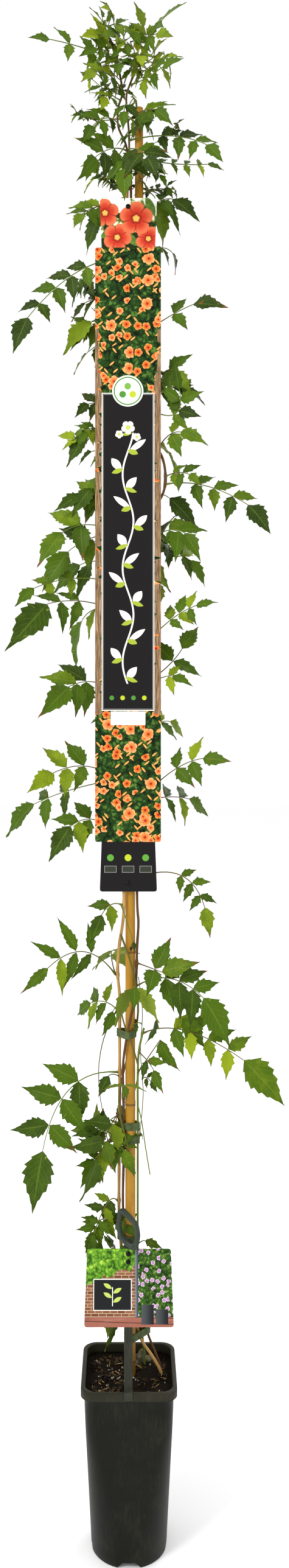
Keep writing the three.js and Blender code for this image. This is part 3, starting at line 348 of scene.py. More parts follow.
class Graph:
    """The shader of one material, built node by node on a Principled surface."""

    def __init__(self, name: str) -> None:
        """Starts a material with a name."""
        self.material = bpy.data.materials.new(name)
        self.material.use_nodes = True
        self.tree = self.material.node_tree
        self.surface = self.tree.nodes["Principled BSDF"]

    def add(self, kind: str, settings: dict, inputs: dict, output: "int | str" = 0) -> Wire:
        """Any node.

        Args:
            kind: The node's type.
            settings: Its properties by name.
            inputs: Numbers, colours or wires by the input's name or place.
            output: The output to take, by name or place.

        Returns:
            That output.
        """
        node = self.tree.nodes.new(kind)
        for key, value in settings.items():
            setattr(node, key, value)
        for key, value in inputs.items():
            self.feed(node.inputs[key], value)
        return Wire(self, node.outputs[output])

    def feed(self, socket: bpy.types.NodeSocket, value: Value) -> None:
        """Sets an input to a number, a colour or six hex digits, or links a wire to it."""
        if isinstance(value, Wire):
            self.tree.links.new(value.socket, socket)
        else:
            socket.default_value = linear(value) if isinstance(value, str) else value

    def arrow(self, kind: str, a: Value, b: Value) -> Wire:
        """A Vector Math node of a kind on two vectors, or on one and a scale."""
        second = "Scale" if kind == "SCALE" else 1
        return self.add("ShaderNodeVectorMath", {"operation": kind}, {0: a, second: b})

    def spot(self) -> Wire:
        """The place on the piece, in millimetres from the middle of the pot."""
        at = self.add("ShaderNodeTexCoord", {}, {}, "Object")
        return self.arrow("SUBTRACT", self.arrow("SCALE", at, 1 / MM), tuple(map(float, MIDDLE)))

    def split(self, vector: Wire) -> tuple[Wire, ...]:
        """A vector's three numbers."""
        node = self.tree.nodes.new("ShaderNodeSeparateXYZ")
        self.feed(node.inputs[0], vector)
        return tuple(Wire(self, output) for output in node.outputs)

    def vector(self, x: Value, y: Value, z: Value) -> Wire:
        """Three numbers as a vector."""
        return self.add("ShaderNodeCombineXYZ", {}, {0: x, 1: y, 2: z})

    def attribute(self, name: str) -> tuple[Wire, ...]:
        """The three numbers of a named vector of the mesh."""
        return self.split(self.add("ShaderNodeAttribute", {"attribute_name": name}, {}, "Vector"))

    def noise(self, at: Wire, size: float, detail: float = 2.0, rough: float = 0.5, z: float = 1.0) -> Wire:
        """Soft noise from 0 to 1 whose lumps are about a size, and 1 / z as long along Z."""
        at = at if z == 1 else self.arrow("MULTIPLY", at, (1, 1, z))
        inputs = {"Vector": at, "Scale": 1 / size, "Detail": detail, "Roughness": rough}
        return self.add("ShaderNodeTexNoise", {}, inputs, "Fac")

    def cells(self, at: Wire, size: float, output: str = "Distance", flat: bool = False) -> Wire:
        """Scattered cells about a size wide: the distance to a centre, or a colour for each."""
        settings = {"voronoi_dimensions": "2D" if flat else "3D"}
        inputs = {"Vector": at, "Scale": 1 / size}
        return self.add("ShaderNodeTexVoronoi", settings, inputs, output)

    def mix(self, share: Value, a: Value, b: Value) -> Wire:
        """Colour a where the share is 0 and colour b where it is 1."""
        factor, first, second, result = 0, 6, 7, 2
        return self.add("ShaderNodeMix", {"data_type": "RGBA"}, {factor: share, first: a, second: b}, result)

    def ramp(self, share: Wire, *colours: str) -> Wire:
        """Colours one after another as the share goes from 0 to 1."""
        result: Value = colours[0]
        for i, colour in enumerate(colours[1:]):
            result = self.mix((share * (len(colours) - 1)).over(i, i + 1), result, colour)
        return result

    def finish(self, colour: Value, roughness: Value, height: "Wire | None" = None,
               depth: float = 0.5, shine: float = 0.3) -> Material:
        """Puts colour, roughness and relief on the surface.

        Args:
            colour: Base colour.
            roughness: Roughness.
            height: Relief from 0 to 1.
            depth: Depth of the relief in millimetres.
            shine: How strongly the surface reflects head on.

        Returns:
            The material.
        """
        self.feed(self.surface.inputs["Base Color"], colour)
        self.feed(self.surface.inputs["Roughness"], roughness)
        self.surface.inputs["Specular IOR Level"].default_value = shine
        if height is not None:
            relief = {"Height": height, "Distance": depth * MM}
            self.feed(self.surface.inputs["Normal"], self.add("ShaderNodeBump", {}, relief))
        return self.material


@dataclass(frozen=True)
class LeafFinish:
    """Leaf blades by how light they are, painted light and shade included, with veins, a paler underside and
    scorched tips.
    """

    name: str
    tones: tuple[str, ...] = ("233507", "456108", "8a9c14")
    under: str = "74852a"
    vein: str = "7f9238"
    stalk: str = "67762a"
    reddish: str = "5b3a26"
    scorched: str = "7c4f2a"
    side_veins: float = 9.0
    vein_slope: float = 2.6

    def build(self) -> Material:
        """Makes the material.

        The side veins are lines where side_veins * along - vein_slope * |across| is whole.

        Returns:
            The material.
        """
        g = Graph(self.name)
        across, along, side = g.attribute("blade")
        tone, brown, stalk = g.attribute("leaflet")
        spot = g.spot()
        width = abs(across)
        cloud = g.noise(spot, 14, 3)
        patch = g.noise(spot, 3.2, 2)
        run = (along * self.side_veins - width * self.vein_slope).fraction()
        line = abs(run - 0.5).over(0.38, 0.5)
        rib = width.over(0.085, 0.02)
        # shade starts from each leaflet's tone, which already carries painted light and shade by height and
        # by nearness to the cane.
        shade = (tone + (cloud - 0.5) * 0.35 + (patch - 0.5) * 0.12).greatest(0).least(1)
        upper = g.ramp(shade, *self.tones)
        veined = g.mix((line * 0.14).greatest(rib * 0.28), upper, self.vein)
        below = side.above(0.505)
        lower = g.mix(0.55, g.mix(0.5, upper, self.under), self.under)
        blade = g.mix(below, veined, lower)
        tip = (along + (cloud - 0.5) * 0.3).over(0.8, 0.95) * brown.over(0.7, 0.8)
        spots = g.noise(spot, 5, 2).over(0.66, 0.72) * brown.over(0.5, 0.9)
        scorch = tip.greatest(spots)
        woody = g.mix(brown, self.stalk, self.reddish)
        colour = g.mix(stalk, g.mix(scorch, blade, self.scorched), woody)
        quilt = abs(run - 0.5).over(0.5, 0.1) * 0.6 + width.over(0.0, 0.12) * 0.4
        return g.finish(colour, 0.48 + below * 0.2 + scorch * 0.2, quilt * (1 - stalk), 0.45, 0.12)


@dataclass(frozen=True)
class BarkFinish:
    """Young bark, with long streaks and pale corky specks."""

    name: str
    tones: tuple[str, ...]
    speck: str
    roughness: float = 0.75

    def build(self) -> Material:
        """Makes the material: streaks are noise drawn out along Z.

        Returns:
            The material.
        """
        g = Graph(self.name)
        spot = g.spot()
        streak = g.noise(spot, 1.6, 4, 0.6, 0.08)
        cloud = g.noise(spot, 26, 2)
        specks = g.cells(g.arrow("MULTIPLY", spot, (1, 1, 0.6)), 3.4).over(0.2, 0.1)
        colour = g.ramp(streak * 0.7 + cloud * 0.5 - 0.1, *self.tones)
        colour = g.mix(specks * 0.5, colour, self.speck)
        return g.finish(colour, self.roughness, streak * 0.7 + specks * 0.3, 0.5)


@dataclass(frozen=True)
class BambooFinish:
    """Bamboo: tan with long streaks, dark at its rings, with the painted shade of a knot hole."""

    name: str
    rings: tuple[float, ...]
    knot: Point
    tones: tuple[str, ...] = ("704a10", "ab7b1c", "d2a03a")
    ring: str = "4c3414"

    def build(self) -> Material:
        """Makes the material: a band is dark where the height is near a ring.

        Returns:
            The material.
        """
        g = Graph(self.name)
        spot = g.spot()
        x, y, z = g.split(spot)
        streak = g.noise(spot, 2.2, 5, 0.65, 0.02)
        cloud = g.noise(g.arrow("MULTIPLY", spot, (0.4, 0.4, 1)), 60, 3)
        colour = g.ramp(streak * 0.75 + cloud * 0.6 - 0.15, *self.tones)
        band = None
        for height in self.rings:
            near = abs(z - height).over(3.2, 0.4)
            band = near if band is None else band.greatest(near)
        colour = g.mix(band * 0.7, colour, self.ring)
        # A dark oval on the front is painted shade for the knot hole; the mesh has no hollow there.
        away = abs(x - self.knot[0]) * 0.8 + abs(z - self.knot[2]) * 0.45
        knot_hole_shade = away.over(2.6, 1.4) * y.over(0.0, -3.0)
        colour = g.mix(knot_hole_shade, colour, "2a1a0c")
        stain = g.noise(spot, 9, 3, z=0.3).over(0.62, 0.75) * 0.35
        # Darker towards the foot, below about 400 mm: partly soil stain, partly painted shade.
        foot_stain_and_shade = (z + (cloud - 0.5) * 160).over(400, 250) * 0.75
        colour = g.mix(stain.greatest(foot_stain_and_shade), colour, self.ring)
        return g.finish(colour, 0.5 + stain * 0.3, streak, 0.25)


@dataclass(frozen=True)
class PlasticFinish:
    """Moulded plastic with a faint grain, dust, handling marks and a lighter band at the lip that is partly
    painted light.
    """

    name: str
    colour: str
    dust_and_lip_light: str = "8b8468"
    dusty: float = 0.25
    roughness: float = 0.45
    # rim: how much the band at the lip is lightened, partly dust and partly painted light.
    rim: float = 0.0
    lip_dust_and_light_from: float = 247.5

    def build(self) -> Material:
        """Makes the material: dust is a cloudy film and small specks, and high on the pot a lighter band is
        added that is partly dust on the rim and partly painted light on the lip and the inner wall above the
        soil.

        Returns:
            The material.
        """
        g = Graph(self.name)
        spot = g.spot()
        cloud = g.noise(spot, 40, 4)
        scuff = g.noise(spot, 3, 3, z=0.2)
        specks = g.cells(spot, 4).over(0.16, 0.06)
        film = (cloud * 0.6 + scuff * 0.4).over(0.45, 0.75) * self.dusty
        dust_and_lip_light = film.greatest(specks * self.dusty * 1.6 * cloud.over(0.45, 0.6))
        # The lip band: partly dust on the rim, partly painted light on the lip and on the inner wall above
        # the soil.
        if self.rim:
            dust_and_lip_light = dust_and_lip_light + g.split(spot)[2].over(self.lip_dust_and_light_from, self.lip_dust_and_light_from + 2) * self.rim
        colour = g.mix(dust_and_lip_light, self.colour, self.dust_and_lip_light)
        return g.finish(colour, self.roughness + dust_and_lip_light * 0.9, g.noise(spot, 0.7, 1), 0.04, 0.14)


@dataclass(frozen=True)
class SoilFinish:
    """Dark potting mix with lighter crumbs."""

    name: str
    tones: tuple[str, ...] = ("090604", "130d07", "2d2112")

    def build(self) -> Material:
        """Makes the material: crumbs are cells with a fine noise over them."""
        g = Graph(self.name)
        spot = g.spot()
        crumb = g.cells(spot, 3.2)
        grain = g.noise(spot, 1.6, 4, 0.7)
        shade = grain * 0.8 + crumb * 0.5 - 0.1
        return g.finish(g.ramp(shade, *self.tones), 0.92, shade, 2.2, 0.08)


@dataclass(frozen=True)
class PlainFinish:
    """One colour with faint noise, for tape, chips and studs."""

    name: str
    colour: str
    other: str
    roughness: float = 0.6
    size: float = 6.0
    depth: float = 0.2

    def build(self) -> Material:
        """Makes the material: noise goes from one colour to the other."""
        g = Graph(self.name)
        spot = g.spot()
        cloud = g.noise(spot, self.size, 3)
        colour = g.mix(cloud.over(0.3, 0.7), self.colour, self.other)
        return g.finish(colour, self.roughness, cloud, self.depth, 0.15)


@dataclass(frozen=True)
class Bloom:
    """The colours of a printed flower, from its petals' edge to its throat."""

    edge: str
    petal: str
    deep: str
    throat: str


SMALL_TRUMPET = Bloom("e8964e", "dc6826", "bf3d12", "7c1808")
PALE_TRUMPET = Bloom("f4ab70", "ea8644", "d4551e", "a12c10")
LARGE_TRUMPET = Bloom("e0704a", "c83c27", "8e1513", "e8b458")
LILAC = Bloom("e6cfe4", "b982bd", "8a4c97", "e0cc70")
BLACK = "1b191a"
LABEL_MIDDLE = (-1.4, 1481.5)


class Print:
    """Printed card: pictures laid one over another, measured in millimetres."""

    def __init__(self, name: str, across: float, up: float) -> None:
        """Starts a print whose middle stands at a place along X and a height along Z."""
        self.g = Graph(name)
        x, _, z = self.g.split(self.g.spot())
        self.x = x - across
        self.z = z - up
        self.flat = self.g.vector(self.x, self.z, 0.0)
        self.colour: Value = "ffffff"

    def lay(self, mask: Wire, colour: Value) -> None:
        """Puts a colour over what is there."""
        self.colour = self.g.mix(mask, self.colour, colour)

    def box(self, left: float, right: float, low: float, high: float, edge: float = 0.25) -> Wire:
        """1 inside a box and 0 outside it."""
        return self.x.within(left, right, edge) * self.z.within(low, high, edge)

    def panel(self, box: tuple[float, ...], wide: float, line: str, fill: str) -> None:
        """Lays a box with a border: a box and a smaller one in it."""
        self.lay(self.box(*box), line)
        self.lay(self.box(box[0] + wide, box[1] - wide, box[2] + wide, box[3] - wide), fill)

    def dots(self, radius: float, *dots: tuple[float, float, str]) -> None:
        """Lays round dots of a radius, each at a place and in a colour."""
        for x, z, colour in dots:
            self.lay(self.reach(self.x - x, self.z - z).over(radius + 0.3, radius - 0.3), colour)

    @staticmethod
    def reach(dx: Wire, dz: Wire) -> Wire:
        """Distance by Pythagoras."""
        return (dx * dx + dz * dz).root()

    def leaf_mark(self, dx: Wire, dz: Wire, turn: float, length: float, width: float) -> Wire:
        """1 inside a pointed leaf: |v| is less than width (1 - (u / length)^2)."""
        u, v = turned_axes(dx, dz, turn)
        share = u / length
        return ((1 - share * share) * width - abs(v)).over(-0.25, 0.25)

    def foliage(self, size: float, *colours: str) -> Wire:
        """Printed leaves: bent cells of varied greens with pale middles and dark gaps.

        Args:
            size: Width of a leaf.
            colours: Colours from the gaps to the pale middles.

        Returns:
            Their colour.
        """
        g = self.g
        bent = g.add("ShaderNodeTexNoise", {}, {"Vector": self.flat, "Scale": 0.7 / size}, "Color")
        at = g.arrow("ADD", self.flat, g.arrow("SCALE", bent, size * 2.2))
        tint = g.split(g.cells(at, size, "Color", True))[0]
        body = g.cells(at, size, flat=True).over(0.7, 0.2)
        glade = g.noise(self.flat, size * 4, 2)
        return g.ramp(tint * 0.45 + body * 0.4 + glade * 0.5 - 0.28, *colours)

    def paint(self, dx: Wire, dz: Wire, radius: float, turn: Value, bloom: Bloom, chosen: Value = 1) -> None:
        """Lays five-petalled flowers round points.

        A petal's reach is radius (0.7 + 0.3 |cos 2.5 angle| ^ 0.5), and colour goes by the share of it.

        Args:
            dx: Distance from a flower's middle along X.
            dz: The same along Z.
            radius: Its radius.
            turn: Its turn.
            bloom: Its colours.
            chosen: 1 where there is one.
        """
        g = self.g
        angle = dz.math("ARCTAN2", dx) + turn
        lobes = abs((angle * 2.5).math("COSINE")).root()
        share = self.reach(dx, dz) / (lobes * (0.3 * radius) + 0.7 * radius)
        seam = lobes.over(0.62, 0.2) * share.over(0.3, 0.55) * 0.75
        tint = g.mix(share.over(0.5, 0.95), bloom.petal, bloom.edge)
        tint = g.mix(share.over(0.5, 0.2), tint, bloom.deep)
        tint = g.mix(share.over(0.26, 0.14), tint, bloom.throat)
        self.lay(share.over(1.04, 0.96) * chosen, g.mix(seam, tint, bloom.deep))

    def flowers(self, size: float, radius: float, share: float, shift: float, bloom: Bloom) -> None:
        """Scatters flowers over the print, one in some of its cells.

        Args:
            size: Width of a cell.
            radius: A flower's radius.
            share: Share of the cells that hold one.
            shift: Moves the pattern.
            bloom: Their colours.
        """
        g = self.g
        at = g.arrow("ADD", self.flat, (shift, shift * 0.7, 0.0))
        dx, dz, _ = g.split(g.arrow("SUBTRACT", at, g.cells(at, size, "Position", True)))
        pick, turn, _ = g.split(g.cells(at, size, "Color", True))
        self.paint(dx, dz, radius, turn * 6.28, bloom, pick.above(1 - share))

    def trumpets(self, size: float, slope: float, share: float, colour: str) -> None:
        """Scatters slim buds that all point one way: round cells of a sheet drawn out 3.7 times.

        Args:
            size: Width of a cell.
            slope: The way that they point.
            share: Share of the cells that hold one.
            colour: Their darker end.
        """
        g = self.g
        u, v = turned_axes(self.x, self.z, slope)
        at = g.vector(u * 0.27, v, 0.0)
        pick = g.split(g.cells(at, size, "Color", True))[2]
        away = g.cells(at, size, flat=True)
        ink = g.ramp(g.noise(self.flat, 5, 1), colour, "f6a558", "ffd08a")
        self.lay(away.over(0.27, 0.2) * pick.above(1 - share), ink)

    def build(self, roughness: float = 0.38) -> Material:
        """The printed material."""
        return self.g.finish(self.colour, roughness, self.g.noise(self.flat, 30, 1), 0.3, 0.1)


def label_print() -> Material:
    """The long label's print: trumpet flowers among leaves, wooden strips and a dark plate.

    The plate bears a stylised climber from low to high: its stem is where x is 8 sin(z / 22), and a
    pair of its leaves repeats every 56 mm.

    Returns:
        The print.
    """
    art = Print("label_print", *LABEL_MIDDLE)
    g, white = art.g, "f1f0ea"
    art.colour = art.foliage(6.5, "091406", "1f3d12", "628a38")
    art.trumpets(5.2, 0.7, 0.26, "b04612")
    art.trumpets(5.2, -0.9, 0.2, "ba5016")
    art.flowers(14.5, 6.3, 0.36, 71, SMALL_TRUMPET)
    art.flowers(27.0, 9.0, 0.34, 47, PALE_TRUMPET)
    art.flowers(11.5, 5.6, 0.16, 23, PALE_TRUMPET)
    wood = g.noise(g.vector(art.x, 0.0, art.z * 0.05), 1.3, 4, 0.6)
    bite = g.noise(g.vector(art.x.math("SIGN") * 50, 0.0, art.z), 13, 2).over(0.52, 0.72) * 14
    strips = (abs(art.x) - bite - (art.z / 45).over(5, 6) * 6).over(37, 37.6) * art.z.within(-250, 318, 2)
    art.lay(strips, g.ramp(wood.over(0.25, 0.75), "3e2c1d", "85684a", "c4a380"))
    plate = (-38.8, 38.8, -245, 224)
    art.lay(art.box(*plate), BLACK)
    art.panel(plate, 1.3, white, BLACK)
    art.panel((-36.4, 36.4, -242.6, 221.6), 0.4, "a9aaa6", BLACK)
    low, high = -205, 165
    inside = art.z.within(low, high, 1)
    stem = art.x - (art.z / 22).math("SINE") * 8
    art.lay(abs(stem).over(1.5, 1.0) * inside, white)
    for side, start in ((1, 0.0), (-1, 0.5)):
        step = ((art.z / 56 + start).fraction() - 0.5) * 56
        for turn, colour, length in ((0.75, white, 13.0), (-0.35, "a3b53a", 9.0)):
            mark = art.leaf_mark(stem * side - length * 0.86, step - 9 * turn, turn, length, length * 0.4)
            art.lay(mark * inside, colour)
    for x, z, size in ((0, high + 8, 10.0), (13, high - 6, 6.0), (-13, high - 2, 6.0)):
        art.paint(art.x - x, art.z - z, size, 0.3, Bloom(white, white, "8fb03a", "f6d34a"))
    art.lay(art.box(-25.6, 25.6, -266, -246), "f4f4f0")
    for radius, colour in ((23, "f6f6f2"), (20.9, "4f8a35"), (19.1, "f6f6f2")):
        art.dots(radius, (-0.4, 227, colour))
    art.dots(5, (-8, 222, "4f8f3a"), (7, 222, "b9c832"), (-0.5, 234, "79ad4c"))
    art.dots(3.4, *((x, -226, colour) for x, colour in zip((-24, -8, 8, 24), ("4f8f3a", "b9c832") * 2)))
    return art.build()


def tab_print() -> Material:
    """The back card's print: large flowers above the panel, and a dark tab with marks below it.

    Returns:
        The print.
    """
    art = Print("label_tab_print", *LABEL_MIDDLE)
    g = art.g
    ground = (g.noise(art.flat, 16, 3) + art.z * 0.004 - 1.92).over(0.4, 0.68)
    art.colour = g.ramp(ground, "1d2c10", "55692a", "cfd6a4", "f8f8f0", "ffffff")
    for x, z, turn in ((-28, 462, 0.6), (33, 500, 2.0), (4, 452, 2.4)):
        mark = art.leaf_mark(art.x - x, art.z - z, turn, 17, 6)
        art.lay(mark, g.ramp(g.noise(art.flat, 6, 2), "3c5a1f", "6f8f3c"))
    large = (30, 452, 19, 0.2), (-34, 490, 21, 0.9), (-16, 454, 21, 0.1), (12, 482, 25, 1.0)
    for x, z, radius, turn in large:
        art.paint(art.x - x, art.z - z, radius, turn, LARGE_TRUMPET)
    art.lay(art.z.over(-434, -440), BLACK)
    for x, colour in ((-26, "5fa03c"), (0, "b9c832"), (26, "5fa03c")):
        art.dots(5, (x, -462, colour))
        art.panel((x - 9, x + 9, -484, -474), 0.7, "8d908c", "34382f")
    return art.build()


def card_print() -> Material:
    """The hang card's print: a flowering border and a slate board beside a wall with a trellis.

    Returns:
        The print.
    """
    art = Print("hang_card_print", 0, 395)
    g = art.g
    art.colour = art.foliage(4.2, "142409", "34591a", "84a748")
    art.flowers(7.5, 3.3, 0.5, 31, LILAC)
    bricks = {"Vector": art.flat, "Scale": 1.0, "Mortar Size": 0.5}
    sizes = {"Brick Width": 11.0, "Row Height": 4.2}
    colours = {"Color1": "6d3f28", "Color2": "94603f", "Mortar": "b59f87"}
    wall = g.add("ShaderNodeTexBrick", {}, {**bricks, **sizes, **colours}, "Color")
    ivy = (g.noise(art.flat, 15, 4) * 34 + art.z - art.x * 0.35).over(41, 42)
    art.lay(art.x.over(11, 10.4) * (1 - ivy), wall)
    art.lay(ivy * art.x.over(12, 11), art.foliage(5.0, "2b4d10", "5f9626", "b3d84e"))
    board, slate, chalk = (-52, 4, -30, 12), "1d1f20", "e9e7df"
    art.lay(art.box(*board), slate)
    art.panel(board, 1.1, chalk, slate)
    art.lay(art.box(-24.6, -23.4, -24, 1, 0.2), chalk)
    for height, side in ((-19, 1), (-13, -1), (-7, 1), (-1, -1)):
        turn = 0.5 if side == 1 else math.pi - 0.5
        art.lay(art.leaf_mark(art.x + 24 - 7 * side, art.z - height - 3.5, turn, 7, 2.8), "b8cf62")
    art.lay(art.box(9.0, 13.5, -60, 60), g.mix(art.x.over(9, 13.5), "75808a", "39424a"))
    planks = ((art.z * 0.13 + art.x * 0.004).fraction()).over(0.08, 0.16)
    deck = g.ramp(g.noise(g.vector(art.x * 0.2, art.z, 0.0), 5, 3), "6b3a2f", "9c6252", "c08f7c")
    art.lay(art.z.over(-38, -38.6), g.mix(planks, "4a281f", deck))
    for x, tall in ((27, 26.0), (48, 20.0)):
        side = g.mix(art.x.over(x - 9, x + 9), "4a4e50", "1f2123")
        art.lay(art.box(x - 9, x + 9, -48, -48 + tall, 0.5), side)
    return art.build(0.42)


# ---- stems


class Route:
    """A smooth run through points, and the evenly spaced corners that a stem is measured from.

    The slope at a point is half the chord between its neighbours.
    """

    def __init__(self, points: tuple[Point, ...], step: float = 42.0) -> None:
        """Works out the corners of a run through points, about a step apart.

        Args:
            points: What it runs through.
            step: Distance between corners.
        """
        inner = np.array(points, float)
        before, after = 2 * inner[0] - inner[1], 2 * inner[-1] - inner[-2]
        self.points = np.concatenate([[before], inner, [after]])
        self.grid = np.linspace(0, 1, 201)
        sampled = self.at(self.grid)
        pieces = np.linalg.norm(np.diff(sampled, axis=0), axis=1)
        self.lengths = np.concatenate([[0], np.cumsum(pieces)])
        self.length = float(self.lengths[-1])
        self.corners = self.spaced(max(1, round(self.length / step)))

    def at(self, share: Array) -> Array:
        """Points at shares of the run's own parameter."""
        count = len(self.points) - 3
        place = np.asarray(share) * count
        i = np.minimum(place.astype(int), count - 1)
        return cubic(tuple(self.points[i + k] for k in range(4)), 0.5, (place - i)[..., None])

    def spaced(self, steps: int) -> Array:
        """Points an equal length apart, from a table of lengths."""
        target = np.linspace(0, self.length, steps + 1)
        return self.at(np.interp(target, self.lengths, self.grid))

    def at_height(self, z: float) -> Array:
        """The point of the straight stretches between corners at a height."""
        i = int(np.argmax(self.corners[:, 2] > z))
        low, high = self.corners[i - 1], self.corners[i]
        return low + (high - low) * (z - low[2]) / (high[2] - low[2])

    def at_share(self, share: float) -> Array:
        """The point of the straight stretches between corners at a share of the length."""
        place = share * (len(self.corners) - 1)
        i = min(int(place), len(self.corners) - 2)
        return self.corners[i] + (self.corners[i + 1] - self.corners[i]) * (place - i)


# ---- tables


@dataclass(frozen=True)
class Leaf:
    """One compound leaf: where its rachis bends and ends, its pairs and its longest blade.

    share is its place on a shoot, front how far it turns to show its face, hang how far its leaflets
    droop, end the size of the last one, slim their width, and bare the share of stalk without any.
    """

    bend: Point
    tip: Point
    pairs: int
    blade: float
    seed: int
    share: float = 0.0
    front: float = 58.0
    hang: float = 0.25
    end: float = 1.15
    slim: float = 1.0
    bare: float = 0.32


class Spray:
    """The leaves of one bud, at a height on a stem. A place on the left is on the left stem."""

    def __init__(self, place: str, at: float, *leaves: Leaf) -> None:
        """Names the spray's node and the stem that it grows on."""
        self.name = f"leaf_{place}"
        self.on = "left" if "left" in place else "right"
        self.at = at
        self.leaves = leaves


class Shoot:
    """A leafy shoot of the crown."""

    def __init__(self, radius: float, route: tuple[Point, ...], *leaves: Leaf) -> None:
        """Works out the shoot's route."""
        self.radius = radius
        self.route = Route(route)
        self.leaves = leaves


STEMS = {
    "left": (2.3, (
        (50, 8, 214), (49, 7, 245), (36, 8, 270), (18, 11, 296), (8, 15, 328), (-2, 16, 367),
        (-9, 14, 404), (-13, 11, 455), (-15, 8, 497), (-14, 8, 643), (-14, 6, 740), (-14, 1, 809),
        (-17, -3, 850), (-14, -5, 891), (-8, -8, 935), (-8, -9, 1000), (-13, -8, 1207), (-11, -8, 1478),
        (-13, -8, 1748), (-8, -7, 1900), (-3, -5, 2000), (-2, -4, 2052),
    )),
    "right": (1.9, (
        (52, 17, 216), (47, 17, 251), (38, 19, 275), (28, 21, 300), (19, 22, 336), (8, 21, 375),
        (-1, 17, 412), (-6, 9, 455), (-9, 1, 505), (-8, -2, 573), (-8, -3, 646), (-9, -5, 706),
        (-5, -10, 743), (2, -13, 781), (9, -10, 811), (11, -6, 846), (12, -4, 886), (14, -4, 922),
        (12, -7, 960), (10, -9, 1117), (11, -9, 1253), (12, -9, 1388), (13, -9, 1505), (28, -9, 1532),
        (48, -9, 1553), (54, -9, 1580), (49, -9, 1612), (30, -9, 1640), (13, -9, 1666), (9, -9, 1784),
        (4, -9, 1901), (3, -9, 1992), (3, -9, 2052),
    )),
    "green": (1.3, (
        (24, 26, 222), (23, 24, 262), (20, 19, 300), (15, 12, 365), (13, 6, 430), (13, 2, 482),
        (13, -2, 565), (13, -4, 640), (13, -6, 700), (15, -9, 735), (22, -14, 768),
    )),
}
GREEN_STRANDS = (((13, -4, 652), (19, -10, 628), (24, -15, 595), (31, -20, 554)),)
TIES = (
    ("tie_lowest", 306, ("left", "right", "green")),
    ("tie_behind_loop", 452, ("left", "right", "green")),
    ("tie_lower_pair", 600, ("right", "green")),
    ("tie_upper_pair", 620, ("right", "green")),
    ("tie_upper", 757, ("left", "right")),
    ("tie_behind_label", 1228, ("left", "right")),
)

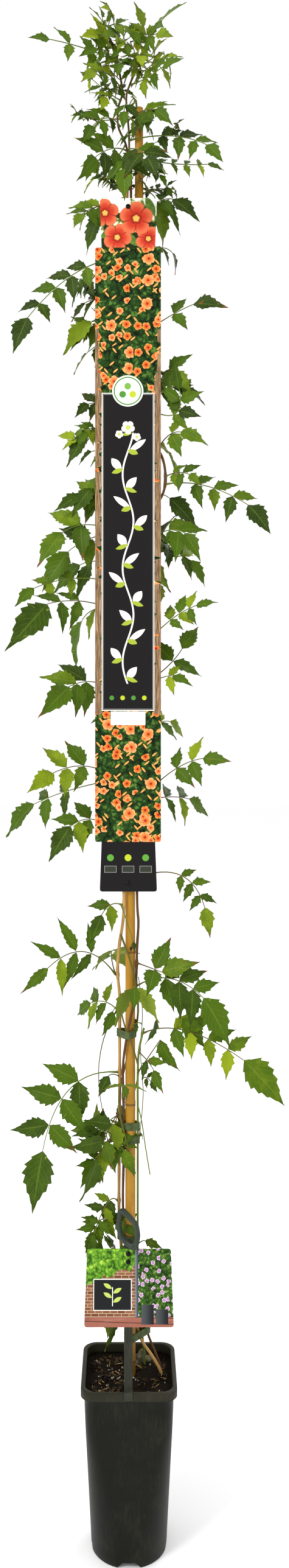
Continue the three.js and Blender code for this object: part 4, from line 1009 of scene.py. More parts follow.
SPRAYS = (
    Spray("left_01", 1986, Leaf((-44, 18, 2002), (-68, -20, 1968), 3, 34, 201, bare=0.5),
          Leaf((-44, 40, 2013), (-66, 72, 2008), 1, 30, 2)),
    Spray("right_01", 1959, Leaf((44, -9, 1999), (64, -18, 1990), 1, 40, 3, hang=0.4, end=1.3, bare=0.5)),
    Spray("left_02", 1905, Leaf((-78, 16, 1918), (-146, -55, 1803), 4, 40, 4, hang=0.35, end=1.6, bare=0.34)),
    Spray("left_03", 1841, Leaf((-48, 18, 1862), (-66, 24, 1852), 1, 32, 5, bare=0.5),
          Leaf((-10, 48, 1816), (10, 84, 1790), 2, 42, 6, front=20)),
    Spray("left_04", 1801, Leaf((-36, 10, 1824), (-56, 2, 1816), 1, 44, 7, hang=0.45, end=1.4),
          Leaf((-43, 35, 1796), (-64, 52, 1786), 1, 36, 8, hang=0.4, end=1.2)),
    Spray("right_02", 1896, Leaf((46, -7, 1937), (66, 26, 1928), 1, 26, 9, hang=0.8, bare=0.5)),
    Spray("right_03", 1787, Leaf((57, -4, 1824), (94, -26, 1832), 1, 38, 10, end=1.4, bare=0.5)),
    Spray("right_04", 1690, Leaf((86, -4, 1650), (74, -28, 1706), 3, 38, 11, front=75, hang=0.1, bare=0.45),
          Leaf((52, 12, 1716), (66, 18, 1722), 1, 38, 111, front=70, hang=0.1)),
    Spray("right_05", 1625, Leaf((58, -8, 1652), (76, -22, 1646), 1, 46, 512, hang=0.2, bare=0.5),
          Leaf((58, 30, 1640), (70, 62, 1618), 1, 38, 112)),
    Spray("right_06", 1583, Leaf((72, -16, 1592), (88, -40, 1580), 2, 28, 13, bare=0.2)),
    Spray("right_07", 1572,
          Leaf((112, -10, 1582), (172, -50, 1534), 3, 38, 14, hang=0.3, end=1.45, bare=0.3)),
    Spray("right_08", 1479, Leaf((60, 0, 1518), (82, -18, 1498), 2, 46, 215, hang=0.4, bare=0.5),
          Leaf((34, 44, 1466), (44, 82, 1436), 2, 42, 16, front=20)),
    Spray("left_05", 1678, Leaf((-44, 10, 1702), (-60, -4, 1692), 1, 32, 17, bare=0.6),
          Leaf((-43, 30, 1668), (-56, 38, 1660), 1, 28, 18, bare=0.5)),
    Spray("left_06", 1597, Leaf((-43, 16, 1631), (-56, 24, 1628), 1, 26, 19)),
    Spray("left_07", 1552, Leaf((-40, 16, 1576), (-56, 4, 1568), 1, 40, 20, hang=0.45, end=1.35, bare=0.6),
          Leaf((-54, 8, 1562), (-74, 0, 1556), 1, 40, 220, front=75, hang=0.3, end=1.2)),
    Spray("left_08", 1500, Leaf((-64, 14, 1528), (-98, -24, 1498), 1, 54, 121, hang=0.3, bare=0.5),
          Leaf((-60, 4, 1500), (-90, 0, 1474), 1, 52, 221, front=75, hang=0.4, end=1.25)),
    Spray("left_09", 1448, Leaf((-50, 24, 1470), (-74, 34, 1458), 1, 52, 22, front=70, end=1.2, bare=0.5)),
    Spray("left_10", 1425,
          Leaf((-82, 8, 1446), (-139, -34, 1415), 2, 30, 123, hang=0.35, end=1.35, bare=0.45)),
    Spray("left_11", 1384,
          Leaf((-73, 8, 1410), (-118, -56, 1390), 2, 46, 24, hang=0.45, end=2.3, slim=0.8, bare=0.45),
          Leaf((-55, 36, 1402), (-72, 56, 1376), 1, 44, 425, hang=0.7, end=1.8)),
    Spray("left_12", 1262, Leaf((-52, 20, 1292), (-88, -26, 1272), 2, 54, 126, hang=0.4, end=1.2, bare=0.6),
          Leaf((-20, 50, 1236), (-10, 88, 1206), 2, 44, 127, front=0)),
    Spray("right_09", 1322, Leaf((58, -3, 1378), (98, -34, 1390), 3, 34, 28, hang=0.1, bare=0.5)),
    Spray("right_10", 1271, Leaf((62, 10, 1300), (80, 24, 1330), 1, 44, 29, hang=0.1, bare=0.55),
          Leaf((52, -3, 1290), (64, -10, 1288), 1, 28, 30, bare=0.75)),
    Spray("right_11", 1194, Leaf((46, 20, 1226), (62, 36, 1220), 1, 36, 31, bare=0.5)),
    Spray("left_13", 1135, Leaf((-64, 12, 1168), (-110, -36, 1146), 2, 48, 32, hang=0.1, end=1.2, bare=0.45),
          Leaf((-94, 34, 1120), (-145, 50, 1094), 2, 42, 133, hang=0.4, end=1.7, bare=0.45)),
    Spray("left_14", 1053, Leaf((-56, 12, 1090), (-86, -16, 1066), 2, 42, 34, hang=0.4, end=1.35, bare=0.5)),
    Spray("right_12", 1100, Leaf((65, -2, 1160), (108, -36, 1167), 2, 40, 35, hang=0.15, end=1.2, bare=0.5),
          Leaf((58, 26, 1112), (92, 48, 1102), 2, 42, 36, hang=0.45, bare=0.4)),
    Spray("right_13", 990, Leaf((91, -4, 1017), (110, -44, 951), 3, 30, 37, end=1.6, bare=0.45)),
    Spray("left_15", 950, Leaf((-28, -20, 958), (-40, -30, 938), 1, 34, 238, hang=0.5),
          Leaf((-2, -24, 926), (6, -17, 896), 0, 13, 138)),
    Spray("left_16", 845,
          Leaf((-64, -26, 912), (-116, -65, 868), 3, 54, 239, front=75, hang=0, end=1.1, slim=0.62),
          Leaf((-34, 40, 880), (-20, 82, 862), 2, 42, 40, front=-20)),
    Spray("left_17", 790, Leaf((-36, 20, 806), (-58, 38, 792), 2, 38, 341, hang=0.2),
          Leaf((-60, 10, 724), (-38, 8, 632), 0, 14, 141)),
    Spray("front_01", 802, Leaf((8, -34, 842), (8, -48, 836), 1, 52, 42, front=0, hang=1.5, end=0.6)),
    Spray("right_14", 862, Leaf((30, -14, 858), (48, -20, 852), 1, 50, 43, hang=-0.7, end=1.1, bare=0.6)),
    Spray("right_15", 830, Leaf((62, -22, 862), (108, -44, 820), 3, 48, 144, hang=0.35, end=1.45, bare=0.35)),
    Spray("left_18", 697, Leaf((-104, -20, 712), (-124, -60, 604), 3, 56, 145, hang=0, end=1.5)),
    Spray("front_02", 664, Leaf((-8, -30, 696), (-6, -42, 691), 1, 36, 46, front=0, hang=0.2, end=0.6)),
    Spray("left_19", 634, Leaf((-26, -24, 638), (-46, -42, 586), 2, 52, 347, front=70, hang=0.1),
          Leaf((-36, 44, 610), (-30, 84, 590), 2, 44, 48, front=-20)),
    Spray("left_20", 505, Leaf((-30, 0, 524), (-52, -8, 462), 3, 28, 849, hang=0.1, end=1.5)),
    Spray("left_21", 374, Leaf((-22, 2, 380), (-25, -6, 362), 0, 50, 50, hang=1, end=1, slim=1.15)),
)

CROWN = (
    Shoot(
        1.6,
        ((0, -6, 2053), (-5, 2, 2081), (-16, 8, 2110), (-16, 8, 2138), (-10, 5, 2161), (-18, 3, 2205),
         (-28, 2, 2238)),
        Leaf((-38, 0, 2252), (-40, 6, 2272), 2, 26, 551, 0.99, front=10, hang=0, end=0.85),
        Leaf((-38, -12, 2236), (-46, -22, 2230), 1, 36, 171, 0.94, front=75, hang=0),
        Leaf((-55, -25, 2209), (-114, -60, 2201), 2, 31, 52, 0.81, front=70, hang=0),
        Leaf((-34, -20, 2214), (-48, -32, 2204), 2, 27, 72, 0.76, front=70, hang=0.1),
        Leaf((-37, 20, 2231), (-52, 42, 2235), 1, 30, 53, 0.86),
        Leaf((-27, -30, 2173), (-48, -55, 2158), 2, 30, 54, 0.6),
        Leaf((-29, 18, 2163), (-55, 28, 2191), 2, 24, 55, 0.52, hang=0.1),
        Leaf((-12, -22, 2200), (-14, -36, 2180), 2, 30, 173, 0.72, front=0, hang=0),
        Leaf((-30, -14, 2150), (-34, -30, 2134), 1, 27, 74, 0.46, front=40, hang=0.2),
        Leaf((-43, 30, 2127), (-61, 60, 2150), 1, 28, 56, 0.38),
        Leaf((-29, -25, 2118), (-52, -50, 2082), 2, 32, 57, 0.31, hang=0.3),
        Leaf((-24, -30, 2066), (-48, -56, 2034), 2, 42, 59, 0.09, front=75, hang=0.3),
        Leaf((-25, 40, 2066), (-52, 65, 2060), 2, 28, 60, 0.14),
    ),
    Shoot(
        1.5,
        ((0, -6, 2053), (0, -6, 2092), (-4, -3, 2145), (1, -3, 2166), (13, 0, 2196), (30, 8, 2243),
         (36, 8, 2254)),
        Leaf((2, -8, 2196), (1, 4, 2222), 2, 27, 61, 0.6, front=0, hang=0, end=0.9),
        Leaf((42, 2, 2259), (50, -6, 2262), 1, 28, 62, 0.99, hang=0, end=1.7),
        Leaf((26, -8, 2238), (22, -14, 2246), 1, 27, 75, 0.88, front=30, hang=-0.2),
        Leaf((24, -20, 2228), (40, -38, 2222), 2, 28, 63, 0.8, front=75),
        Leaf((12, -22, 2206), (16, -38, 2190), 2, 30, 76, 0.7, front=0, hang=0),
        Leaf((25, -35, 2156), (48, -60, 2161), 2, 30, 64, 0.55, front=75, end=1.3),
        Leaf((26, 25, 2205), (35, 45, 2214), 1, 27, 65, 0.72),
        Leaf((-6, -30, 2126), (-7, -44, 2106), 1, 30, 366, 0.4, front=0, hang=0.6),
        Leaf((16, -30, 2118), (38, -48, 2106), 2, 38, 367, 0.28, hang=0.4, bare=0.55),
        Leaf((10, -26, 2094), (18, -40, 2092), 1, 30, 77, 0.2, hang=0.1, slim=0.7),
        Leaf((66, -20, 2092), (112, -55, 2052), 3, 36, 68, 0.14, hang=0.3, end=1.2),
        Leaf((14, -40, 2056), (26, -66, 2030), 2, 46, 69, 0.08, front=30, hang=0.3),
        Leaf((-4, -36, 2040), (-6, -52, 2020), 1, 44, 78, 0.05, front=0, hang=0.6),
        Leaf((60, -22, 2036), (116, -12, 2044), 4, 22, 70, 0.03, hang=0.2),
    ),
)

GREEN_LEAVES = (
    Leaf((75, -20, 789), (165, -55, 733), 4, 42, 81, 0.985, end=1.95),
    Leaf((28, -22, 724), (36, -34, 712), 1, 28, 82, 0.93, hang=0.4),
    Leaf((20, 5, 447), (24, 4, 446), 0, 24, 83, 0.4, hang=0),
)


# ---- leaves


@dataclass(frozen=True)
class BladeShape:
    """How every leaflet is built. A pair is a middle and how far a leaflet may be from it.

    The margin's stations run from first over run, and the tip lies beyond. margins has the length
    that a leaflet stays under, its teeth on each side and how deep their notches cut.
    """

    half_width: float = 0.27
    spread: Pair = (63.0, 9.0)
    fold: Pair = (17.0, 8.0)
    twist: Pair = (0.0, 22.0)
    sweep: Pair = (0.0, 0.05)
    arch: Pair = (0.17, 0.05)
    turn: Pair = (0.0, 9.0)
    longer: Pair = (1.0, 0.12)
    hangs: Pair = (1.0, 0.22)
    shingle: float = 9.0
    thickness: float = 0.8
    wave: float = 0.024
    waves: float = 13.0
    rounding: float = 0.7
    tooth_lean: float = 0.42
    notch_back: float = 1.6
    first: float = 0.035
    run: float = 0.925
    crowding: float = 1.05
    beyond: float = 1.02
    columns: int = 5
    margins: tuple[tuple[float, int, float], ...] = ((32.0, 4, 0.3), (50.0, 5, 0.26), (math.inf, 7, 0.21))


BLADE = BladeShape()
# Lightness added to leaflets by the height of their base: partly the paler young leaves at the top, partly
# painted light and shade, least near 1900 mm and most in the crown.
TONE_AND_LIGHT_HEIGHTS = (400.0, 1280.0, 1500.0, 1900.0, 2120.0, 2190.0)
TONE_AND_LIGHT_LEVELS = (0.17, 0.16, 0.08, 0.02, 0.05, 0.4)
OUTLINE_SHARES = (0.0, 0.04, 0.1, 0.2, 0.3, 0.4, 0.5, 0.6, 0.7, 0.8, 0.9, 1.0)
OUTLINE_WIDTHS = (0.05, 0.16, 0.58, 0.92, 1.06, 1.08, 0.98, 0.8, 0.54, 0.29, 0.13, 0.03)


@dataclass
class Leaflets:
    """Leaflets by array: where each starts, how it points, its length and its draws."""

    base: Array
    along: Array
    up: Array
    length: Array
    slim: Array
    seed: Array
    index: Array

    @staticmethod
    def joined(parts: "list[Leaflets]") -> "Leaflets":
        """Several lots of leaflets as one."""
        return Leaflets(*map(np.concatenate, zip(*(vars(part).values() for part in parts))))

    def toothed(self) -> Surface:
        """The blades in lots: the longer a leaflet is, the more and the finer its teeth.

        Returns:
            All of the blades.
        """
        lots, shortest = [], 0.0
        for longest, teeth, depth in BLADE.margins:
            chosen = (self.length >= shortest) & (self.length < longest)
            if chosen.any():
                lots.append(Leaflets(*(v[chosen] for v in vars(self).values())).surface(teeth, depth))
            shortest = longest
        return Surface.joined(lots)

    def surface(self, teeth: int, depth: float) -> Surface:
        """Toothed blades, each closed, with a fine upper side and a coarser lower side.

        Across a blade, c w(s) is folded up by the fold and turned by twist x s about the midrib,
        which runs s L along, falls by arch L s^2 and swings aside by sweep L s^2. w(s) is the
        outline, cut back at every other station of the margin, first on one side then the other.

        Args:
            teeth: Teeth on each side.
            depth: How deep the notches cut, as a share of the width.

        Returns:
            The blades. The vector blade is a vertex's place across and along its blade and its side:
            0 above, half at the margin, 1 below. The vector leaflet is what tones gives.
        """
        stations, count = 2 * teeth, len(self.length)
        i = np.arange(stations)[None, :, None]
        c = np.linspace(-1, 1, BLADE.columns)[None, None]
        edge = np.abs(c) == 1
        notch = np.where(edge, (i + (c > 0)) % 2, 0)
        share = BLADE.first + BLADE.run * (i / (stations - 1)) ** BLADE.crowding
        lean = BLADE.tooth_lean * BLADE.run / (stations - 1)
        s = share + np.where(edge, lean * (1 - BLADE.notch_back * notch), 0)
        width = np.interp(s, OUTLINE_SHARES, OUTLINE_WIDTHS) * (1 - depth * notch)
        size, slim, seed, index = (v[:, None, None] for v in (self.length, self.slim, self.seed, self.index))
        half = size * BLADE.half_width * slim
        fold = np.radians(varied(BLADE.fold, seed, index, 11))
        arch = varied(BLADE.arch, seed, index, 12)
        phase = 2 * np.pi * draw(seed, index, 13)
        ripple = BLADE.wave * size * np.abs(c) * np.sin(BLADE.waves * s + phase + 1.4 * np.sign(c))
        turn = np.radians(varied(BLADE.twist, seed, index, 14)) * s
        swing = varied(BLADE.sweep, seed, index, 15) * size
        rise, reach = np.abs(c) * half * width * np.sin(fold), c * half * width * np.cos(fold)
        lift = rise * np.cos(turn) + reach * np.sin(turn) - arch * size * s**2 + ripple
        aside = reach * np.cos(turn) - rise * np.sin(turn) + swing * s**2
        thick = BLADE.thickness * (1 - np.abs(c)) ** BLADE.rounding / 2
        middle = BLADE.columns // 2
        rib = (..., slice(middle, middle + 1))
        to_tip = np.array([0, 1])
        ends = self.spread(size * BLADE.beyond * to_tip, swing * to_tip, -arch * size * to_tip)
        upper = self.spread(s * size, aside, lift + thick)
        lower = self.spread((s * size)[rib], aside[rib], (lift - thick)[rib])
        points = np.concatenate([v.reshape(count, -1, 3) for v in (ends, upper, lower)], 1)
        grid = np.stack(np.broadcast_arrays(c[0], s[0], 0.5 * edge[0]), -1)
        blade = np.concatenate([[[0, 0, 0.5], [0, 1, 0.5]], grid.reshape(-1, 3), grid[:, 2] + [0, 0, 1]])
        values = {"blade": np.tile(blade, (count, 1)), "leaflet": np.repeat(self.tones(), len(blade), 0)}
        shift = (np.arange(count) * len(blade))[:, None, None]
        faces = [(f[None] + shift).reshape(-1, f.shape[1]) for f in self.template(stations)]
        return Surface(points.reshape(-1, 3), faces, values)

    def spread(self, forward: Array, aside: Array, lift: Array) -> Array:
        """Points from their distances along, across and above each leaflet's base."""
        across = np.cross(self.along, self.up)
        base, along, side, up = (v[:, None, None] for v in (self.base, self.along, across, self.up))
        return base + forward[..., None] * along + aside[..., None] * side + lift[..., None] * up

    def tones(self) -> Array:
        """Each leaflet's tone with painted light and shade in it, its scorching, and 0 because it isn't
        stalk.
        """
        # light picks leaflets to paint lighter, as if lit through from behind; lit fades this out near the
        # cane, so the inner leaflets there keep painted shade.
        light = draw(self.seed, 0, 23)
        lit = 0.6 * smooth_step(np.abs(self.base[:, 0]), 2, 45)
        # level is that lightness by height, partly the young leaves' paler green and partly painted light and
        # shade.
        level = np.interp(self.base[:, 2], TONE_AND_LIGHT_HEIGHTS, TONE_AND_LIGHT_LEVELS)
        tone = 0.6 * draw(self.seed, self.index, 21) ** 1.5
        shade = np.clip(tone + (0.3 * light**2 + 0.3 * (light > 0.8)) * lit + level, 0, 1)
        return np.stack([shade, draw(self.seed, self.index, 22), 0 * shade], -1)

    @staticmethod
    def template(stations: int) -> list[Array]:
        """One leaflet's faces: vertex 0 is its base, 1 its tip, then the upper grid, then the rib.

        Args:
            stations: Rows of the upper grid.

        Returns:
            Four-cornered and three-cornered faces.
        """
        row = np.arange(stations)[:, None]
        top = 2 + row * BLADE.columns + np.arange(BLADE.columns)
        rib = 2 + row + top.size
        under = np.hstack([top[:, :1], rib, top[:, -1:]]).ravel()[grid_faces(stations, 3, False)]
        quads = np.concatenate([grid_faces(stations, BLADE.columns, False) + 2, under[:, [0, 3, 2, 1]]])
        ring = np.hstack([top, rib])
        after = np.roll(ring, -1, 1)
        start = np.stack([0 * ring[0], after[0], ring[0]], -1)
        end = np.stack([ring[-1], after[-1], 0 * ring[0] + 1], -1)
        return [quads, np.concatenate([start, end])]


@dataclass
class Frond:
    """One compound leaf on its root."""

    leaf: Leaf
    root: Array
    stem: Array | None = None

    def __post_init__(self) -> None:
        """Takes the bend and the tip as arrays."""
        self.bend, self.tip = np.array(self.leaf.bend, float), np.array(self.leaf.tip, float)

    def path(self, share: Array) -> Array:
        """Points of the rachis: (1-t)^2 root + 2t(1-t) bend + t^2 tip."""
        t = share[:, None]
        return (1 - t) ** 2 * self.root + 2 * t * (1 - t) * self.bend + t**2 * self.tip

    def directions(self, share: Array) -> tuple[Array, Array, Array]:
        """The rachis's own directions: along it, to its left and above it.

        Left starts level, square to the line from root to tip, and turns until the leaf shows its face.

        Args:
            share: Shares of the rachis.

        Returns:
            The three unit vectors at each share.
        """
        t = share[:, None]
        along = unit(2 * (1 - t) * (self.bend - self.root) + 2 * t * (self.tip - self.bend))
        ends = self.tip - self.root
        level = unit(np.array([-ends[1], ends[0], 0.0]))
        side = square_to(np.broadcast_to(level, along.shape), along)
        side = turned(side, along, np.full(len(side), math.radians(self.leaf.front * np.sign(ends[0]))))
        return along, side, np.cross(along, side)

    def leaflets(self) -> Leaflets:
        """Pairs of leaflets and one at the end, each with its own small variations.

        Returns:
            The leaflets, from the foot up.
        """
        leaf = self.leaf
        index = np.arange(2 * leaf.pairs + 1)
        rank = index // 2
        side = np.where(index % 2 == 0, 1.0, -1.0)
        side[-1] = 0.0
        share = leaf.bare + (1 - leaf.bare) * (rank + 0.3) / (leaf.pairs + 0.05)
        share[-1] = 1.0
        ahead, left, above = self.directions(share)
        spread = np.radians(varied(BLADE.spread, leaf.seed, index, 1)) * np.abs(side)
        along = ahead * np.cos(spread)[:, None] + left * (side * np.sin(spread))[:, None]
        along[:, 2] -= leaf.hang * varied(BLADE.hangs, leaf.seed, index, 2)
        along = unit(along)
        turn = np.radians(side * BLADE.shingle + varied(BLADE.turn, leaf.seed, index, 3))
        up = turned(square_to(above, along), along, turn)
        grown = 0.84 + 0.2 * np.sin(np.pi * (rank + 0.6) / (leaf.pairs + 0.4))
        grown[-1] = leaf.end
        length = leaf.blade * grown * varied(BLADE.longer, leaf.seed, index, 4)
        base = self.path(share) + left * (side * 0.7)[:, None]
        same = np.ones(len(index))
        return Leaflets(base, along, up, length, same * leaf.slim, same * leaf.seed, index)

    def rachis(self) -> Surface:
        """A round stalk, thick at its foot and thin at its tip, set into the stem.

        Returns:
            The stalk.
        """
        share = np.linspace(0, 1, 14)
        path = self.path(share)
        radius = 0.95 - 0.35 * share + 0.9 * bump(share, 0, 0.06)
        if self.stem is not None:
            path = np.concatenate([[self.stem], path])
            radius = np.concatenate([[1.2], radius])
        ends = path[-1] - path[0]
        reference = (0.0, 0.0, 1.0) if abs(ends[2]) < 0.85 * np.linalg.norm(ends) else (1.0, 0.0, 0.0)
        tone = 0.3 + 0.4 * float(draw(self.leaf.seed, 0, 31))
        brown = 0.9 * float(draw(self.leaf.seed, 0, 32)) ** 2
        return tube(path, radius, 6, reference).tagged(blade=(0, 0, 0), leaflet=(tone, brown, 1))


@dataclass
class Foliage:
    """The leaves of one node: their blades and stalks in one piece."""

    name: str
    fronds: list[Frond]
    material: Material
    slot: Slot = Slot.LEAF
    stalks: list[Surface] = field(default_factory=list)
    brown: float = 0.0

    def build(self) -> Piece:
        """Joins every frond's blades and stalks."""
        blades = Leaflets.joined([frond.leaflets() for frond in self.fronds]).toothed()
        stalks = [frond.rachis() for frond in self.fronds]
        woody = [s.tagged(blade=(0, 0, 0), leaflet=(0.3, self.brown, 1)) for s in self.stalks]
        whole = Surface.joined([blades, *stalks, *woody])
        replaced = (self.name,) if self.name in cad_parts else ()
        return Piece(f"{self.name}_foliage", whole, self.material, self.slot, replaced, 75.0)


@dataclass(frozen=True)
class Twig:
    """A thin twig and the young leaves that stand by turns round it."""

    route: tuple[Point, ...]
    leaves: int = 0
    reach: float = 20.0
    blade: float = 18.0
    seed: int = 0
    first: float = 0.3
    radius: float = 0.7
    apart: float = 2.4

    def fronds(self) -> list[Frond]:
        """Leaves 0.38 of a turn apart, shorter towards the tip, rising to a bend and drooping from it.

        Returns:
            The leaves, from the twig's foot up.
        """
        route = Route(self.route, 8.0)
        fronds = []
        for number in range(self.leaves):
            luck = [float(draw(self.seed, number, kind)) for kind in (41, 42, 43, 44)]
            share = self.first + (1 - self.first) * number / (self.leaves - 1)
            turn = self.apart * number + 6.28 * float(draw(self.seed, 0, 45))
            reach = self.reach * (0.65 + 0.7 * luck[0]) * (1.15 - 0.35 * share)
            root = route.at_share(share)
            out = np.array([math.cos(turn), 0.7 * math.sin(turn), 0.0]) * reach
            bend = root + 0.5 * out + np.array([0, 0, 0.32 * reach])
            tip = root + out + np.array([0, 0, (0.45 - 0.8 * luck[1]) * reach])
            pairs, blade = 1 + int(1.9 * luck[2]), self.blade * (0.75 + 0.5 * luck[3])
            leaf = Leaf(tuple(bend), tuple(tip), pairs, blade, self.seed + number, hang=0.3 * luck[1])
            fronds.append(Frond(leaf, root))
        return fronds

    def stalk(self) -> Surface:
        """The twig itself."""
        return tube(Route(self.route).spaced(24), self.radius, 6)


TWIGS = (
    Twig(((-20, 2, 2205), (-12, -8, 2222), (-5, -12, 2240)), 3, 24, 28, 301),
    Twig(((13, 0, 2196), (8, -10, 2212), (2, -6, 2228)), 3, 22, 27, 311),
    Twig(((-23, 2, 2218), (-31, -6, 2242), (-27, -10, 2268)), 5, 18, 24, 591, 0.3),
    Twig(((-14, 2, 2177), (-30, -10, 2184), (-47, -14, 2188)), 5, 19, 20, 321),
    Twig(((-11, 0, 2152), (-24, 8, 2162), (-36, 6, 2168)), 4, 17, 20, 331),
    Twig(((3, -2, 2163), (16, -12, 2176), (34, -18, 2188)), 3, 22, 22, 341),
    Twig(((14, 0, 2195), (28, 10, 2208), (45, 8, 2220)), 4, 24, 25, 351),
    Twig(((-20, 4, 2104), (-46, -4, 2111), (-78, -8, 2122)), 6, 13, 14, 361, 0.55, 0.6),
    Twig(((-2, -4, 2126), (2, -8, 2137), (7, -8, 2144)), 2, 8, 13, 371),
    Twig(((0, -10, 2078), (12, -18, 2094), (25, -18, 2118)), 5, 17, 16, 381, 0.2),
    Twig(((10, -8, 2064), (44, -14, 2078), (71, -12, 2102)), 4, 11, 12, 391, 0.8, 0.5),
    Twig(((-6, -6, 2010), (-28, -14, 2032), (-47, -10, 2050)), 5, 21, 18, 401),
    Twig(((4, -8, 2008), (26, -18, 2026), (48, -14, 2036)), 5, 22, 18, 411),
    Twig(((8, -4, 2002), (38, 4, 2012), (66, 10, 2018)), 4, 19, 16, 421, 0.4),
    Twig(((-8, -4, 2002), (-16, 6, 2018), (-24, 4, 2032)), 4, 17, 16, 431),
    Twig(((-15, 4, 640), (-28, -6, 600), (-36, -8, 572)), 5, 28, 33, 441),
    Twig(((-15, 4, 560), (-26, -10, 580), (-34, -12, 612)), 4, 27, 32, 451),
    Twig(((-14, 8, 480), (-30, 8, 470), (-46, 6, 474)), 4, 24, 27, 465, 0.4),
    Twig(((-12, 8, 430), (-24, 8, 426), (-34, 6, 432)), 3, 20, 25, 474, 0.4),
    Twig((
        (-12, -9, 905), (2, -13, 866), (12, -8, 820), (12, 9, 770), (-4, 13, 712), (-15, -2, 655),
        (-4, -13, 600), (9, -11, 552),
    ), radius=1.5),
    Twig(((-14, -6, 800), (-6, -12, 770), (7, -12, 735), (14, -2, 700), (8, 12, 665)), radius=1.2),
    Twig(((-8, -7, 1905), (-50, 14, 1890), (-66, 16, 1862)), 4, 24, 30, 501, 0.6),
    Twig(((-10, -7.4, 1840), (-48, 14, 1815), (-64, 16, 1795)), 4, 24, 32, 511, 0.6),
    Twig(((16, 0, 1750), (50, 14, 1744), (66, 16, 1722)), 4, 24, 34, 521, 0.6),
    Twig(((13, -8, 1502), (54, 24, 1492), (70, 28, 1468)), 3, 22, 34, 531, 0.6),
    Twig(((-12, -8, 1662), (-50, 14, 1654), (-64, 14, 1640)), 3, 22, 28, 541, 0.6),
    Twig(((14, -6, 842), (20, -6, 790), (17, -9, 735), (21, -4, 668), (16, -10, 610)), 3, 18, 16, 481,
         radius=0.6),
)

SINGLE_LEAVES = (
    ((14, 4, 2018), Leaf((38, 14, 2014), (41, 15, 2002), 0, 56, 561, front=80, hang=0)),
    ((14, 4, 2018), Leaf((46, 12, 2014), (52, 14, 2004), 0, 46, 562, front=70, hang=0, slim=0.62)),
    ((-3, -5, 2000), Leaf((-36, 12, 1996), (-42, 14, 1984), 0, 50, 563, front=80, hang=0)),
    ((-4, 15.5, 378), Leaf((-18, -12, 366), (-20, -15, 350), 0, 54, 582, front=85, hang=0)),
    ((-12, -7, 1630), Leaf((-50, 12, 1664), (-62, 14, 1650), 0, 50, 571, front=80, hang=0)),
    ((14, 4, 1560), Leaf((48, 12, 1566), (60, 14, 1556), 0, 56, 572, front=80, hang=0)),
    ((13, -6.3, 700), Leaf((40, -14, 742), (46, -18, 752), 0, 50, 601, hang=1.6)),
    ((69.8, -23, 769.6), Leaf((74, -26, 784), (78, -26, 786), 0, 46, 602, hang=1.4)),
    ((43.7, -16.8, 768.2), Leaf((42, -20, 778), (40, -24, 784), 0, 36, 603, hang=1.6)),
    ((-14.3, 1.7, 800), Leaf((-20, -8, 798), (-24, -10, 792), 0, 38, 604, hang=0.9)),
    ((-13.9, 7.4, 690), Leaf((-24, -6, 700), (-30, -8, 696), 0, 34, 605, hang=1.0)),
)


